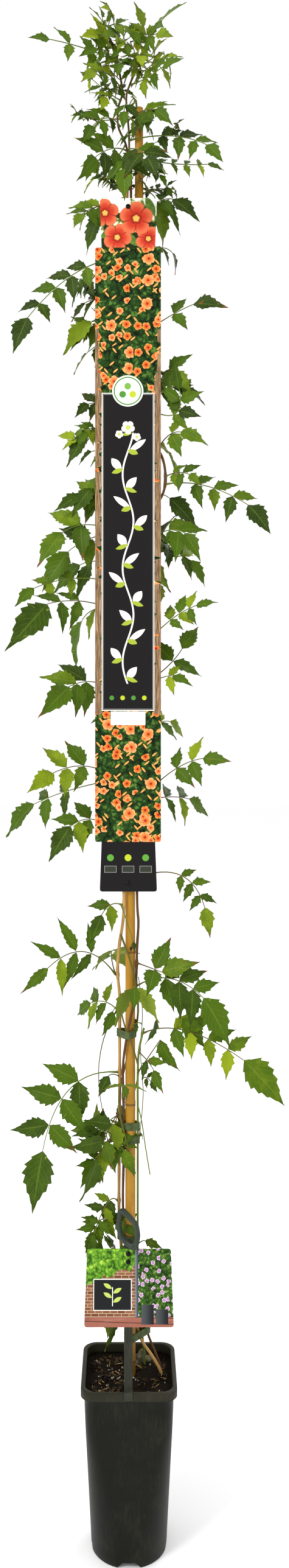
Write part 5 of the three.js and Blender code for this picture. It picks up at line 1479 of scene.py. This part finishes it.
@dataclass
class Vine:
    """The plant: two woody stems, a green shoot, the crown and every spray of leaves."""

    bud: float = 2.3
    slip: float = 0.425
    clearance: float = 0.3
    strand_radius: float = 0.8
    swell: float = 0.45
    bell: float = 4.0
    step: float = 5.0

    def __post_init__(self) -> None:
        """Works out the stems' routes and the plant's finishes."""
        self.routes = {name: Route(points) for name, (_, points) in STEMS.items()}
        self.radius = {name: radius for name, (radius, _) in STEMS.items()}
        self.leaf = LeafFinish("vine_leaf").build()
        self.bark = BarkFinish("vine_bark", ("2e1d10", "57391a", "87602c"), "a58752").build()
        self.pale = BarkFinish("vine_pale_bark", ("74542a", "b48c4e", "d8b57a"), "e6d2a6").build()

    def spray(self, spray: Spray) -> Piece:
        """One bud's leaves, set out from the stem towards where the first one bends.

        Args:
            spray: The bud's place and leaves.

        Returns:
            The piece that stands for the bud's node.
        """
        route = self.routes[spray.on]
        axis = route.at_height(spray.at)
        away = np.array(spray.leaves[0].bend, float) - axis
        away[2] = 0
        reach = self.bud if len(spray.leaves) > 1 else self.slip
        root = axis + unit(away) * (self.radius[spray.on] + self.clearance + reach)
        fine = route.spaced(400)
        inside = fine[np.argmin(np.abs(fine[:, 2] - spray.at))]
        fronds = [Frond(leaf, root, inside) for leaf in spray.leaves]
        return Foliage(spray.name, fronds, self.leaf).build()

    def crown(self) -> Piece:
        """The two leafy shoots at the top."""
        fronds, stalks = [], []
        for shoot in CROWN:
            stalks.append(tube(shoot.route.spaced(40), shoot.radius, 8))
            fronds += [Frond(leaf, shoot.route.at_share(leaf.share)) for leaf in shoot.leaves]
        return Foliage("crown", fronds, self.leaf, stalks=stalks, brown=0.8).build()

    def green_shoot(self) -> Piece:
        """The green shoot with its leaves and the thin strand that hangs from it."""
        route = self.routes["green"]
        stalks = [tube(route.spaced(110), self.radius["green"] + 0.3, 8)]
        stalks += [tube(Route(points).spaced(24), self.strand_radius, 6) for points in GREEN_STRANDS]
        fronds = [Frond(leaf, route.at_share(leaf.share)) for leaf in GREEN_LEAVES]
        return Foliage("green_shoot", fronds, self.leaf, Slot.GREEN, stalks).build()

    def young(self) -> Piece:
        """The twigs and young leaves between the large leaves."""
        fronds = [frond for twig in TWIGS for frond in twig.fronds()]
        fronds += [Frond(leaf, np.array(root, float)) for root, leaf in SINGLE_LEAVES]
        stalks = [twig.stalk() for twig in TWIGS]
        return Foliage("young", fronds, self.leaf, stalks=stalks, brown=0.5).build()

    def woody(self, name: str, bark: Material, slot: Slot) -> Piece:
        """A woody stem whose radius is r (1 + swell x the bells at its sprays + two slow waves).

        Args:
            name: The stem's name.
            bark: Its finish.
            slot: Its material slot.

        Returns:
            The stem.
        """
        route = self.routes[name]
        path = route.spaced(round(route.length / self.step))
        z = path[:, 2]
        bells = sum(bump(z, spray.at, self.bell) for spray in SPRAYS if spray.on == name)
        wobble = 0.05 * np.sin(z / 17.0) + 0.04 * np.sin(z / 6.1)
        stem = tube(path, self.radius[name] * (1 + self.swell * bells + wobble), 10)
        return Piece(f"stem_{name}_bark", stem, bark, slot, (f"stem_{name}",))

    def build(self) -> None:
        """Places every piece of the plant."""
        self.woody("left", self.pale, Slot.PALE_BARK).place()
        self.woody("right", self.bark, Slot.BARK).place()
        self.green_shoot().place()
        self.crown().place()
        self.young().place()
        for spray in SPRAYS:
            self.spray(spray).place()


# ---- cane and ties


@dataclass
class Cane:
    """The bamboo cane: a slim cone with rings, its upper half leaning aside."""

    foot: float = 26.0
    top: float = 2133.0
    foot_x: float = 2.0
    lean: float = 13.0
    lean_from: float = 950.0
    lean_to: float = 2050.0
    foot_radius: float = 7.9
    top_radius: float = 6.2
    swell: float = 0.7
    under: float = 0.45
    groove: float = 0.5
    oval: float = 0.012
    rings: tuple[float, ...] = (270, 464, 652, 878, 1112, 1352, 1590, 1822, 2040)
    knot: Point = (2.9, -7.0, 884.0)
    sides: int = 28

    def x(self, z: Array) -> Array:
        """Sideways place of the axis: a smooth step of the height."""
        return self.foot_x + self.lean * smooth_step(z, self.lean_from, self.lean_to)

    def radius(self, z: Array) -> Array:
        """Radius: straight from the foot's to the top's."""
        share = (np.asarray(z) - self.foot) / (self.top - self.foot)
        return self.foot_radius + (self.top_radius - self.foot_radius) * share

    def surface(self) -> Surface:
        """Rings of the radius, with a hollow top.

        At each joint a bell stands above it and a smaller one under it, less a narrow groove.

        Returns:
            The closed cane.
        """
        near = np.concatenate([[z - 4, z - 2, z - 1, z, z + 1, z + 2, z + 4] for z in self.rings])
        z = np.unique(np.concatenate([np.arange(self.foot, self.top - 1, 12.0), near, [self.top - 0.6]]))
        bells = (self.swell, 1.6, 2.4), (self.under, -2.4, 1.6), (-self.groove, 0, 0.9)
        relief = sum(tall * bump(z, ring + up, wide) for ring in self.rings for tall, up, wide in bells)
        turn = round_turn(self.sides)[None]
        radius = (self.radius(z) + relief)[:, None] * (1 + self.oval * np.sin(3 * turn + z[:, None] / 240))
        end = self.radius(self.top)
        rim = np.array([end - 0.5, end - 2.0, end - 2.4, end - 2.4])[:, None] + 0 * turn
        height = np.concatenate([z, [self.top, self.top, self.top - 2, self.top - 9]])[:, None]
        radius = np.concatenate([radius, rim])
        x = self.x(height) + radius * np.cos(turn)
        return loft(np.stack(np.broadcast_arrays(x, radius * np.sin(turn), height), -1))

    def build(self) -> None:
        """Places the cane."""
        bamboo = BambooFinish("bamboo_cane", self.rings, self.knot).build()
        Piece("cane_bamboo", self.surface(), bamboo, Slot.BAMBOO, ("cane",), 50).place()


@dataclass
class Tie:
    """Tape pulled tight round the cane and some stems."""

    name: str
    height: float
    around: tuple[str, ...]
    width: float = 11.0
    thickness: float = 0.8
    room: float = 0.5
    slant: float = 1.3
    sides: int = 64

    def outline(self, cane: Cane, vine: Vine, extra: float) -> Array:
        """A tight loop round circles: for each direction the circle point that lies furthest in it.

        Each point is then drawn halfway to the middle of its neighbours.

        Args:
            cane: The cane.
            vine: The stems.
            extra: How far the loop stands off the circles.

        Returns:
            Points of the loop along X and Y.
        """
        turn = round_turn(self.sides)
        facing = np.stack([np.cos(turn), np.sin(turn)], -1)
        circles = []
        for z in (self.height - self.width / 2, self.height + self.width / 2):
            circles.append((cane.x(z), 0.0, cane.radius(z) + cane.swell / 2))
            for stem in self.around:
                x, y, _ = vine.routes[stem].at_height(z)
                circles.append((x, y, vine.radius[stem] * self.slant))
        middle, radius = np.array(circles)[:, :2], np.array(circles)[:, 2] + extra
        furthest = np.argmax(middle @ facing.T + radius[:, None], axis=0)
        flat = middle[furthest] + radius[furthest, None] * facing
        return (flat + np.roll(flat, 1, 0) * 0.5 + np.roll(flat, -1, 0) * 0.5) / 2

    def surface(self, cane: Cane, vine: Vine) -> Surface:
        """The loop's outer and inner walls, softly creased, joined over its upper and lower edges.

        Args:
            cane: The cane.
            vine: The stems.

        Returns:
            The closed band.
        """
        level = self.height + self.width * np.linspace(-0.5, 0.5, 7)
        loops = [self.outline(cane, vine, self.room + extra) for extra in (self.thickness, 0)]
        flat = np.repeat(loops, len(level), 0)
        z = np.concatenate([level, level[::-1]])[:, None, None]
        rows = np.concatenate([flat, np.broadcast_to(z, flat.shape[:2] + (1,))], -1)
        place = np.arange(self.sides)[None, :]
        crease = 0.22 * np.sin(place * 0.55 + rows[..., 2] * 0.9) + 0.12 * np.sin(place * 1.7)
        out = unit((rows - rows.mean((0, 1))) * np.array([1, 1, 0]))
        rows = rows + out * crease[..., None]
        return Surface(rows.reshape(-1, 3), [grid_faces(len(rows), self.sides, True, True)])

    def build(self, cane: Cane, vine: Vine, tape: Material) -> None:
        """Places the tie."""
        surface = self.surface(cane, vine)
        Piece(f"{self.name}_tape", surface, tape, Slot.TIE, (self.name,), 50).place()


# ---- pot and soil


@dataclass
class Pot:
    """The nursery pot: round at the foot, square at the lip, notched to drain."""

    height: float = 260.5
    rim_half: float = 69.8
    lip_height: float = 11.5
    wall_half: float = 65.0
    wall_corner: float = 18.0
    base_radius: float = 55.8
    foot_width: float = 9.0
    wall: float = 1.8
    floor: float = 9.0
    notch_half: float = 16.5
    notch_height: float = 8.5
    shoulder: float = 196.0
    flat: float = 0.5

    def corner_angles(self) -> Array:
        """Angles of the points on one corner, with two close together at each side of a notch."""
        side = math.degrees(math.asin(self.notch_half / self.base_radius))
        half = np.array([0, side / 2, side - 0.25, side + 0.25, 24, 31, 38])
        return np.radians(np.concatenate([half, [45], 90 - half[::-1]]))

    def ring(self, half: Array, corner: Array, z: Array) -> Array:
        """Rounded squares: each quarter is an arc about a corner's middle.

        Args:
            half: Half width of each ring.
            corner: Corner radius of each ring.
            z: Height of each ring.

        Returns:
            Points by ring, place and axis.
        """
        one = self.corner_angles()
        quarter = np.repeat(np.arange(4), len(one)) * np.pi / 2
        angle = quarter + np.tile(one, 4)
        middle = quarter + np.pi / 4
        half, corner, z = (np.asarray(v, float)[:, None] for v in (half, corner, z))
        reach = (half - corner) * math.sqrt(2)
        x = reach * np.cos(middle) + corner * np.cos(angle)
        y = reach * np.sin(middle) + corner * np.sin(angle)
        return np.stack([x, y, np.broadcast_to(z, x.shape)], -1)

    def wall_at(self, z: Array) -> tuple[Array, Array]:
        """Half width and corner radius of the outer wall at heights."""
        z = np.asarray(z, float)
        half = self.base_radius + (self.wall_half - self.base_radius) * z / (self.height - self.lip_height)
        turn = np.clip(z / self.shoulder, 0, 1)
        return half, (half - self.flat) + (self.wall_corner - half + self.flat) * turn

    def surface(self) -> Surface:
        """Rings from the middle of the foot out, up the wall, over the lip and down inside.

        Below the notch's height, a ring's vertices over a notch are lifted to that height.

        Returns:
            The closed pot.
        """
        foot = self.base_radius - self.foot_width
        under = self.ring([foot - 6, foot, foot], [foot - 6.5, foot - 0.5, foot - 0.5], [7.2, 7.2, 0])
        lip = self.height - self.lip_height
        up = np.concatenate([[0, 1.2, 9, 20], np.linspace(34, self.shoulder, 9), [214, 232, lip - 1.5]])
        half, corner = self.wall_at(up)
        soften = np.where(up == 0, 0.8, 0)
        outer = self.ring(half - soften, corner - soften, up)
        wall, rim, top, inside = self.wall_half, self.rim_half, self.height, self.wall_half - self.wall
        edge = [(wall + 0.3, 18.2, lip - 0.6), (wall + 4.8, 19.4, lip - 0.2), (rim - 0.3, 19.9, lip + 0.4)]
        edge += [(rim, 20, lip + 1.5), (rim, 20, top - 2), (rim - 0.5, 19.8, top - 0.7)]
        edge += [(rim - 1.6, 19.4, top), (rim - 5.2, 18.6, top)]
        edge += [(inside + 0.5, 18, top - 0.7), (inside, 17.6, top - 2.4)]
        lip_rings = self.ring(*np.array(edge).T)
        down = np.array([lip, 220, self.shoulder, 140, 70, 20, self.floor])
        half, corner = self.wall_at(down)
        inner = self.ring(half - self.wall, corner - self.wall, down)
        rings = np.concatenate([under, outer, lip_rings, inner])
        x, y, z = rings[..., 0], rings[..., 1], rings[..., 2]
        notched = np.minimum(np.abs(x), np.abs(y)) < self.notch_half
        z = np.where(notched & (z < self.notch_height), self.notch_height * 0.999, z)
        z[0] = 7.2
        z[1] = np.where(notched[1], self.notch_height, 7.2)
        return loft(np.stack([x, y, z], -1))

    def build(self) -> None:
        """Places the pot."""
        # rim lightens the top of the pot, partly as dust and partly as painted light.
        plastic = PlasticFinish("pot_plastic", "0b0d04", dusty=0.05, roughness=0.42, rim=0.06).build()
        Piece("pot_moulding", self.surface(), plastic, Slot.POT, ("pot",), 35).place()


@dataclass
class Soil:
    """Potting mix with a low mound, and chips, white grains and straw strewn on it."""

    top: float = 245.0
    mound: float = 7.0
    mound_at: Pair = (14.0, 12.0)
    mound_width: float = 26.0
    lump: float = 1.8
    rings: int = 44
    gap: float = 0.35
    spread: float = 56.0
    tilt: float = 0.22
    seed: int = 7
    roots: tuple[tuple[float, ...], ...] = (
        (16, 34, 250, 8, 12), (27, 37, 248, 8, 9), (20, 43, 251, 8, 12), (33, 42, 246, 6, 8),
        (9, 42, 247, 7, 9),
    )

    def height(self, x: Array, y: Array) -> Array:
        """A mound, two crossing waves, and crumbs: finer waves whose crests meet at random."""
        away = np.hypot(x - self.mound_at[0], y - self.mound_at[1])
        wave = np.sin(x / 7 + y / 11) + np.sin(-x / 13 + y / 6)
        crumb = np.sin(x * 1.9 + 2 * np.sin(y * 0.9)) * np.sin(y * 1.7 + 2 * np.sin(x * 1.1))
        base = self.top + self.mound * np.exp(-((away / self.mound_width) ** 2))
        return base + self.lump * wave + 0.7 * crumb

    def surface(self, pot: Pot) -> Surface:
        """The pot's inner outline drawn in ring by ring towards the middle, at the soil's height.

        Args:
            pot: The pot that holds it.

        Returns:
            The closed bed.
        """
        depth = 200.0
        half, corner = pot.wall_at(np.array([depth, self.top - 2]))
        inset = pot.wall + self.gap
        side = pot.ring(half - inset, corner - inset, [depth, self.top - 4])
        share = np.linspace(1, 0.02, self.rings)[:, None]
        x, y = side[1, None, :, 0] * share, side[1, None, :, 1] * share
        top = np.stack([x, y, self.height(x, y)], -1)
        return loft(np.concatenate([side, top]))

    def scattered(self, count: int, low: Point, high: Point, seed: int, sink: float) -> Surface:
        """Rough chips lying on the soil: boxes with uneven corners, each turned at random.

        Args:
            count: Number of chips.
            low: Least length, width and thickness.
            high: Greatest length, width and thickness.
            seed: Added to the seed of the draws.
            sink: How far their middles sit under the surface.

        Returns:
            All of them.
        """
        dice = np.random.default_rng(self.seed + seed)
        corner = np.array([[i, j, k] for k in (-1, 1) for j in (-1, 1) for i in (-1, 1)], float) / 2
        size = dice.uniform(low, high, (count, 3))
        local = corner[None] * size[:, None] * dice.uniform(0.6, 1.0, (count, 8, 3))
        spin, tilt = dice.uniform(0, 2 * np.pi, count), dice.normal(0, self.tilt, (count, 2))
        ahead = unit(np.stack([np.cos(spin), np.sin(spin), tilt[:, 0]], -1))
        left = square_to(np.stack([-np.sin(spin), np.cos(spin), tilt[:, 1]], -1), ahead)
        up = np.cross(ahead, left)
        spot = dice.uniform(-self.spread, self.spread, (count, 2))
        middle = np.column_stack([spot, self.height(spot[:, 0], spot[:, 1]) - sink])
        points = middle[:, None] + np.einsum("nvk,nkx->nvx", local, np.stack([ahead, left, up], 1))
        box = np.array([[0, 2, 3, 1], [4, 5, 7, 6], [0, 1, 5, 4], [2, 6, 7, 3], [0, 4, 6, 2], [1, 3, 7, 5]])
        faces = (box[None] + 8 * np.arange(count)[:, None, None]).reshape(-1, 4)
        return Surface(points.reshape(-1, 3), [faces])

    def lumps(self) -> Surface:
        """Knobs of the rootstock: balls whose radius swells by two crossing waves.

        Returns:
            All of them.
        """
        share, turn = np.linspace(0, np.pi, 17)[:, None], round_turn(28)
        balls = []
        for number, (x, y, z, wide, tall) in enumerate(self.roots):
            swell = 0.1 * np.sin(3 * turn + number) * np.sin(share) ** 2
            swell = 1 + swell + 0.07 * np.sin(5 * share + 2 * turn)
            swell = np.where(np.sin(share) < 0.01, 1, swell)
            ring = wide * swell * np.sin(share)
            up = z - tall * swell * np.cos(share)
            balls.append(loft(np.stack([x + ring * np.cos(turn), y + ring * np.sin(turn), up], -1)[1:-1]))
        return Surface.joined(balls)

    def build(self, pot: Pot) -> None:
        """Places the soil and what is strewn on it.

        Args:
            pot: The pot that holds it.
        """
        mix = SoilFinish("soil_mix").build()
        Piece("soil_surface", self.surface(pot), mix, Slot.SOIL, ("soil",), 80).place()
        kinds = (
            ("soil_bark_chips", 270, (2.5, 1.5, 0.8), (9, 5, 2.2), ("1a1108", "4a3a20"), 0.2),
            ("soil_dark_crumbs", 620, (1.5, 1.5, 1), (5, 4, 3), ("0b0704", "20160e"), 0.2),
            ("soil_white_grains", 55, (1.2, 1.2, 1), (2.8, 2.6, 2.2), ("9a937e", "cec6b0"), 0.1),
            ("soil_pale_stones", 14, (3, 2.6, 2), (6, 4.6, 3.4), ("6a604e", "94897a"), 0.2),
            ("soil_straw", 34, (5, 0.7, 0.5), (17, 1.5, 0.9), ("7c6636", "ad9358"), -0.8),
        )
        for number, (name, count, low, high, (one, other), sink) in enumerate(kinds):
            finish = PlainFinish(name, one, other, 0.85, 5).build()
            strewn = self.scattered(count, low, high, number, sink)
            Piece(name, strewn, finish, Slot.SOIL, (), 30).place()
        pale = PlainFinish("soil_root_lumps", "332f23", "6b6450", 0.9, 7, 0.8).build()
        Piece("soil_root_lumps", self.lumps(), pale, Slot.SOIL, (), 80).place()


# ---- handle, label and card


@dataclass
class Handle:
    """The carrying handle: a strap hooked over the rim and a grooved hand loop."""

    width: float = 12.2
    thickness: float = 1.7
    x: float = -1.0
    rim_y: float = -61.0
    loop_y: float = -22.0
    loop_z: float = 446.0
    top: float = 457.0
    inner_leg: float = 254.0
    hook_drop: float = 10.0
    gap: float = 0.3
    depth: float = 11.0
    groove: float = 0.8
    edge: float = 0.9
    ribs: int = 4
    turn: float = -24.0
    centre: Point = (-1.4, -24.0, 475.0)
    ease: float = 0.32
    across: tuple[float, ...] = (-17, -13.5, -5, 7, 14.5, 18, 14, -5, -15)
    upward: tuple[float, ...] = (5, -12, -21, -27, -25, -7, 11, 27, 26)

    def front(self, z: Array, rim: float) -> Array:
        """Where the strap's front face stands at a height, on a line from the rim to the loop."""
        share = (np.asarray(z) - rim - 2) / (self.loop_z - rim - 2)
        return self.rim_y + (self.loop_y - self.rim_y) * share - self.thickness

    def closed_run(self, count: int) -> tuple[Array, Array]:
        """The loop's outline as a smooth closed run, and its outward normals.

        Args:
            count: Points on each stretch.

        Returns:
            Points and unit normals in the loop's own plane.
        """
        p = np.stack([self.across, self.upward], -1)
        places = tuple(np.roll(p, -k, 0)[:, None] for k in (-1, 0, 1, 2))
        run = cubic(places, self.ease, np.linspace(0, 1, count, endpoint=False)[None, :, None]).reshape(-1, 2)
        ahead = unit(np.roll(run, -1, 0) - np.roll(run, 1, 0))
        return run, np.stack([ahead[:, 1], -ahead[:, 0]], -1)

    def loop(self) -> Surface:
        """A ribbed section carried round the outline: outline - inward distance x normal.

        Returns:
            The closed loop.
        """
        run, normal = self.closed_run(12)
        across = np.linspace(-0.5, 0.5, 33)
        rounded = self.edge * np.abs(2 * across) ** 6
        ribs = self.groove * np.sin(np.pi * self.ribs * (across + 0.5)) ** 2
        outer = np.stack([across * self.depth, (self.groove - ribs) + rounded], -1)
        inside = np.array([(0.5, 3.2), (0.42, 4.6), (0.2, 5), (-0.2, 5), (-0.42, 4.6), (-0.5, 3.2)])
        section = np.concatenate([outer, inside * np.array([self.depth, 1])])
        flat = run[:, None] - normal[:, None] * section[None, :, 1:]
        depth = np.broadcast_to(section[None, :, 0], flat.shape[:2])
        sideways, ahead = turned_axes(flat[..., 0], -depth, math.radians(-self.turn))
        points = np.stack([sideways, ahead, flat[..., 1]], -1) + np.array(self.centre)
        return Surface(points.reshape(-1, 3), [grid_faces(len(run), len(section), True, True)])

    def strap(self, pot: Pot) -> Surface:
        """The strap's side view carried across its width, with plain ends.

        Args:
            pot: The pot whose rim it hooks over.

        Returns:
            The closed strap.
        """
        t, gap = self.thickness, self.gap
        inner, outer = gap - (pot.wall_half - pot.wall), -pot.rim_half - gap
        under, over = pot.height + gap, pot.height + gap + t
        low, high = float(self.front(over, pot.height)), float(self.front(self.top, pot.height))
        foot = under - self.hook_drop
        side = [(inner + t, self.inner_leg), (inner, self.inner_leg), (inner, under), (outer, under)]
        side += [(outer, foot), (outer - t, foot), (outer - t, over), (low, over)]
        side += [(high, self.top), (high + t, self.top), (inner + t, over)]
        ends = np.array([-0.5, 0.5]) * self.width + self.x
        rings = np.concatenate([np.column_stack([np.full(len(side), x), side]) for x in ends])
        one = np.arange(len(side))[None, :]
        walls = grid_faces(2, len(side))[:, ::-1]
        return Surface(rings, [walls, one, (len(side) + one)[:, ::-1]])

    def build(self, pot: Pot) -> None:
        """Places the loop and the strap.

        Args:
            pot: The pot whose rim the strap hooks over.
        """
        plastic = PlasticFinish("handle_plastic", "2a2c24", dusty=0.1, roughness=0.4).build()
        # The loop's plastic is a lighter copy of the strap's: painted light on the loop.
        lighter_loop = PlasticFinish("handle_loop_plastic", "363f37", dusty=0.12, roughness=0.36).build()
        Piece("carry_handle_loop", self.loop(), lighter_loop, Slot.HANDLE, ("carry_handle",), 40).place()
        strap = Piece("carry_handle_strap", self.strap(pot), plastic, Slot.HANDLE, ("carry_handle",)).place()
        bevel = strap.modifiers.new("softened_edges", "BEVEL")
        bevel.width = 0.4 * MM
        bevel.segments = 2


@dataclass
class Cards:
    """The long label, the hang card and the black pins that hold them."""

    head: float = 3.6
    card_top: float = 447.0
    card_pins: tuple[float, ...] = (7.0, 18.0)
    thickness: float = 0.6
    head_back: float = -13.9
    label_pins: tuple[tuple[str, float, float], ...] = (
        ("label_stud_top", -1.4, 1981), ("label_stud_bottom", -1.8, 982),
    )

    def pin(self, x: float, y: float, z: float, shank: float, lean: float = 0.0) -> Surface:
        """A domed head and its shank: a profile turned about an axis that points to the front.

        Args:
            x: Across.
            y: The back of the head.
            z: Height.
            shank: Length of the shank behind the head.
            lean: Turn about X, in radians.

        Returns:
            The pin.
        """
        profile = [(1.4, -shank), (1.5, -0.2), (self.head, 0), (self.head, 0.5)]
        profile += [(3.1, 1.15), (1.8, 1.6), (0.6, 1.75)]
        radius, away = (v[:, None] for v in np.array(profile).T)
        turn = round_turn(24)
        rise, ahead = turned_axes(radius * np.sin(turn), away, lean)
        return loft(np.stack([x + radius * np.cos(turn), y - ahead, z + rise], -1))

    def build(self, handle: Handle, pot: Pot) -> None:
        """Dresses the cards and places their pins.

        Args:
            handle: The handle whose strap bears the hang card.
            pot: The pot that the handle hooks over.
        """
        prints = (label_print(), Slot.LABEL), (tab_print(), Slot.LABEL), (card_print(), Slot.CARD)
        for node, (material, slot) in zip(("label_panel", "label_back", "hang_card"), prints):
            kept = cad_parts[node]
            kept.data.materials.clear()
            kept.data.materials.append(material)
            log.info("%s: dressed in %s", node, material.name)
        black = PlainFinish("pin_plastic", "070707", "121212", 0.25, 8, 0.02).build()
        pins = {name: self.pin(x, self.head_back, z, 2.5) for name, x, z in self.label_pins}
        lean = math.atan2(handle.loop_y - handle.rim_y, handle.loop_z - pot.height - 2)
        top = float(handle.front(self.card_top, pot.height))
        for number, drop in enumerate(self.card_pins, 1):
            down, out = turned_axes(drop, self.thickness + 0.6, -lean)
            surface = self.pin(handle.x, top - out, self.card_top - down, 0.9, lean)
            pins[f"hang_card_stud_{number}"] = surface
        for name, surface in pins.items():
            Piece(f"{name}_dome", surface, black, Slot.STUD, (name,)).place()


# ---- stage, lights and camera


@dataclass
class Studio:
    """A pale floor, a white sky, soft lights and the camera."""

    distance: float = 1.73
    eye: float = 1.23
    lens: float = 26.69
    shift: Pair = (0.0099, -0.0439)
    half: float = 14.0
    lamps: tuple[tuple[str, Point, Point, float, float], ...] = (
        ("key_light", (-2.4, -2.4, 3.3), (0, 0, 1.2), 1.2, 90),
        ("back_light", (1.6, 2.2, 3.0), (0, 0, 1.3), 1.4, 25),
    )

    def floor(self) -> None:
        """A square floor."""
        corners = [(-1, -1), (1, -1), (1, 1), (-1, 1)]
        mesh = bpy.data.meshes.new("studio_floor")
        mesh.from_pydata([(x * self.half, y * self.half, 0.0) for x, y in corners], [], [(0, 1, 2, 3)])
        mesh.materials.append(Graph("studio_paper").finish("fefefe", 0.95, shine=0.05))
        put("studio_floor", mesh)

    def light(self) -> None:
        """Soft square lights, each turned to the point that it faces, and a white sky."""
        for name, at, look, size, power in self.lamps:
            light = bpy.data.lights.new(name, "AREA")
            light.size = size
            light.energy = power
            made = put(name, light)
            made.location = at
            made.rotation_euler = (Vector(look) - Vector(at)).to_track_quat("-Z", "Y").to_euler()
        world = bpy.data.worlds.new("studio_world")
        bpy.context.scene.world = world
        world.use_nodes = True
        sky = world.node_tree.nodes["Background"]
        sky.inputs["Color"].default_value = (1.0, 1.0, 1.0, 1.0)

    def camera(self) -> None:
        """A level camera in front, shifted to the plant."""
        lens = bpy.data.cameras.new("camera")
        lens.lens = self.lens
        lens.shift_x, lens.shift_y = self.shift
        made = put("camera", lens)
        made.location = (MIDDLE[0] * MM, MIDDLE[1] * MM - self.distance, self.eye)
        made.rotation_euler = (math.pi / 2, 0, 0)
        bpy.context.scene.camera = made

    def build(self) -> None:
        """Places the stage, the lights and the camera."""
        self.floor()
        self.camera()
        self.light()
        bpy.context.scene.view_settings.view_transform = "Standard"


# ---- the whole object


def main() -> None:
    """Builds the plant, its cane, pot, cards and stage."""
    logging.basicConfig(level=logging.INFO, format="%(name)s %(message)s")
    pot, handle, cane, vine = Pot(), Handle(), Cane(), Vine()
    pot.build()
    Soil().build(pot)
    cane.build()
    vine.build()
    tape = PlainFinish("tie_tape", "3c4629", "55633c", 0.7, 9, 0.3).build()
    for name, height, around in TIES:
        Tie(name, height, around).build(cane, vine, tape)
    handle.build(pot)
    Cards().build(handle, pot)
    Studio().build()


if __name__ == "__main__":
    main()
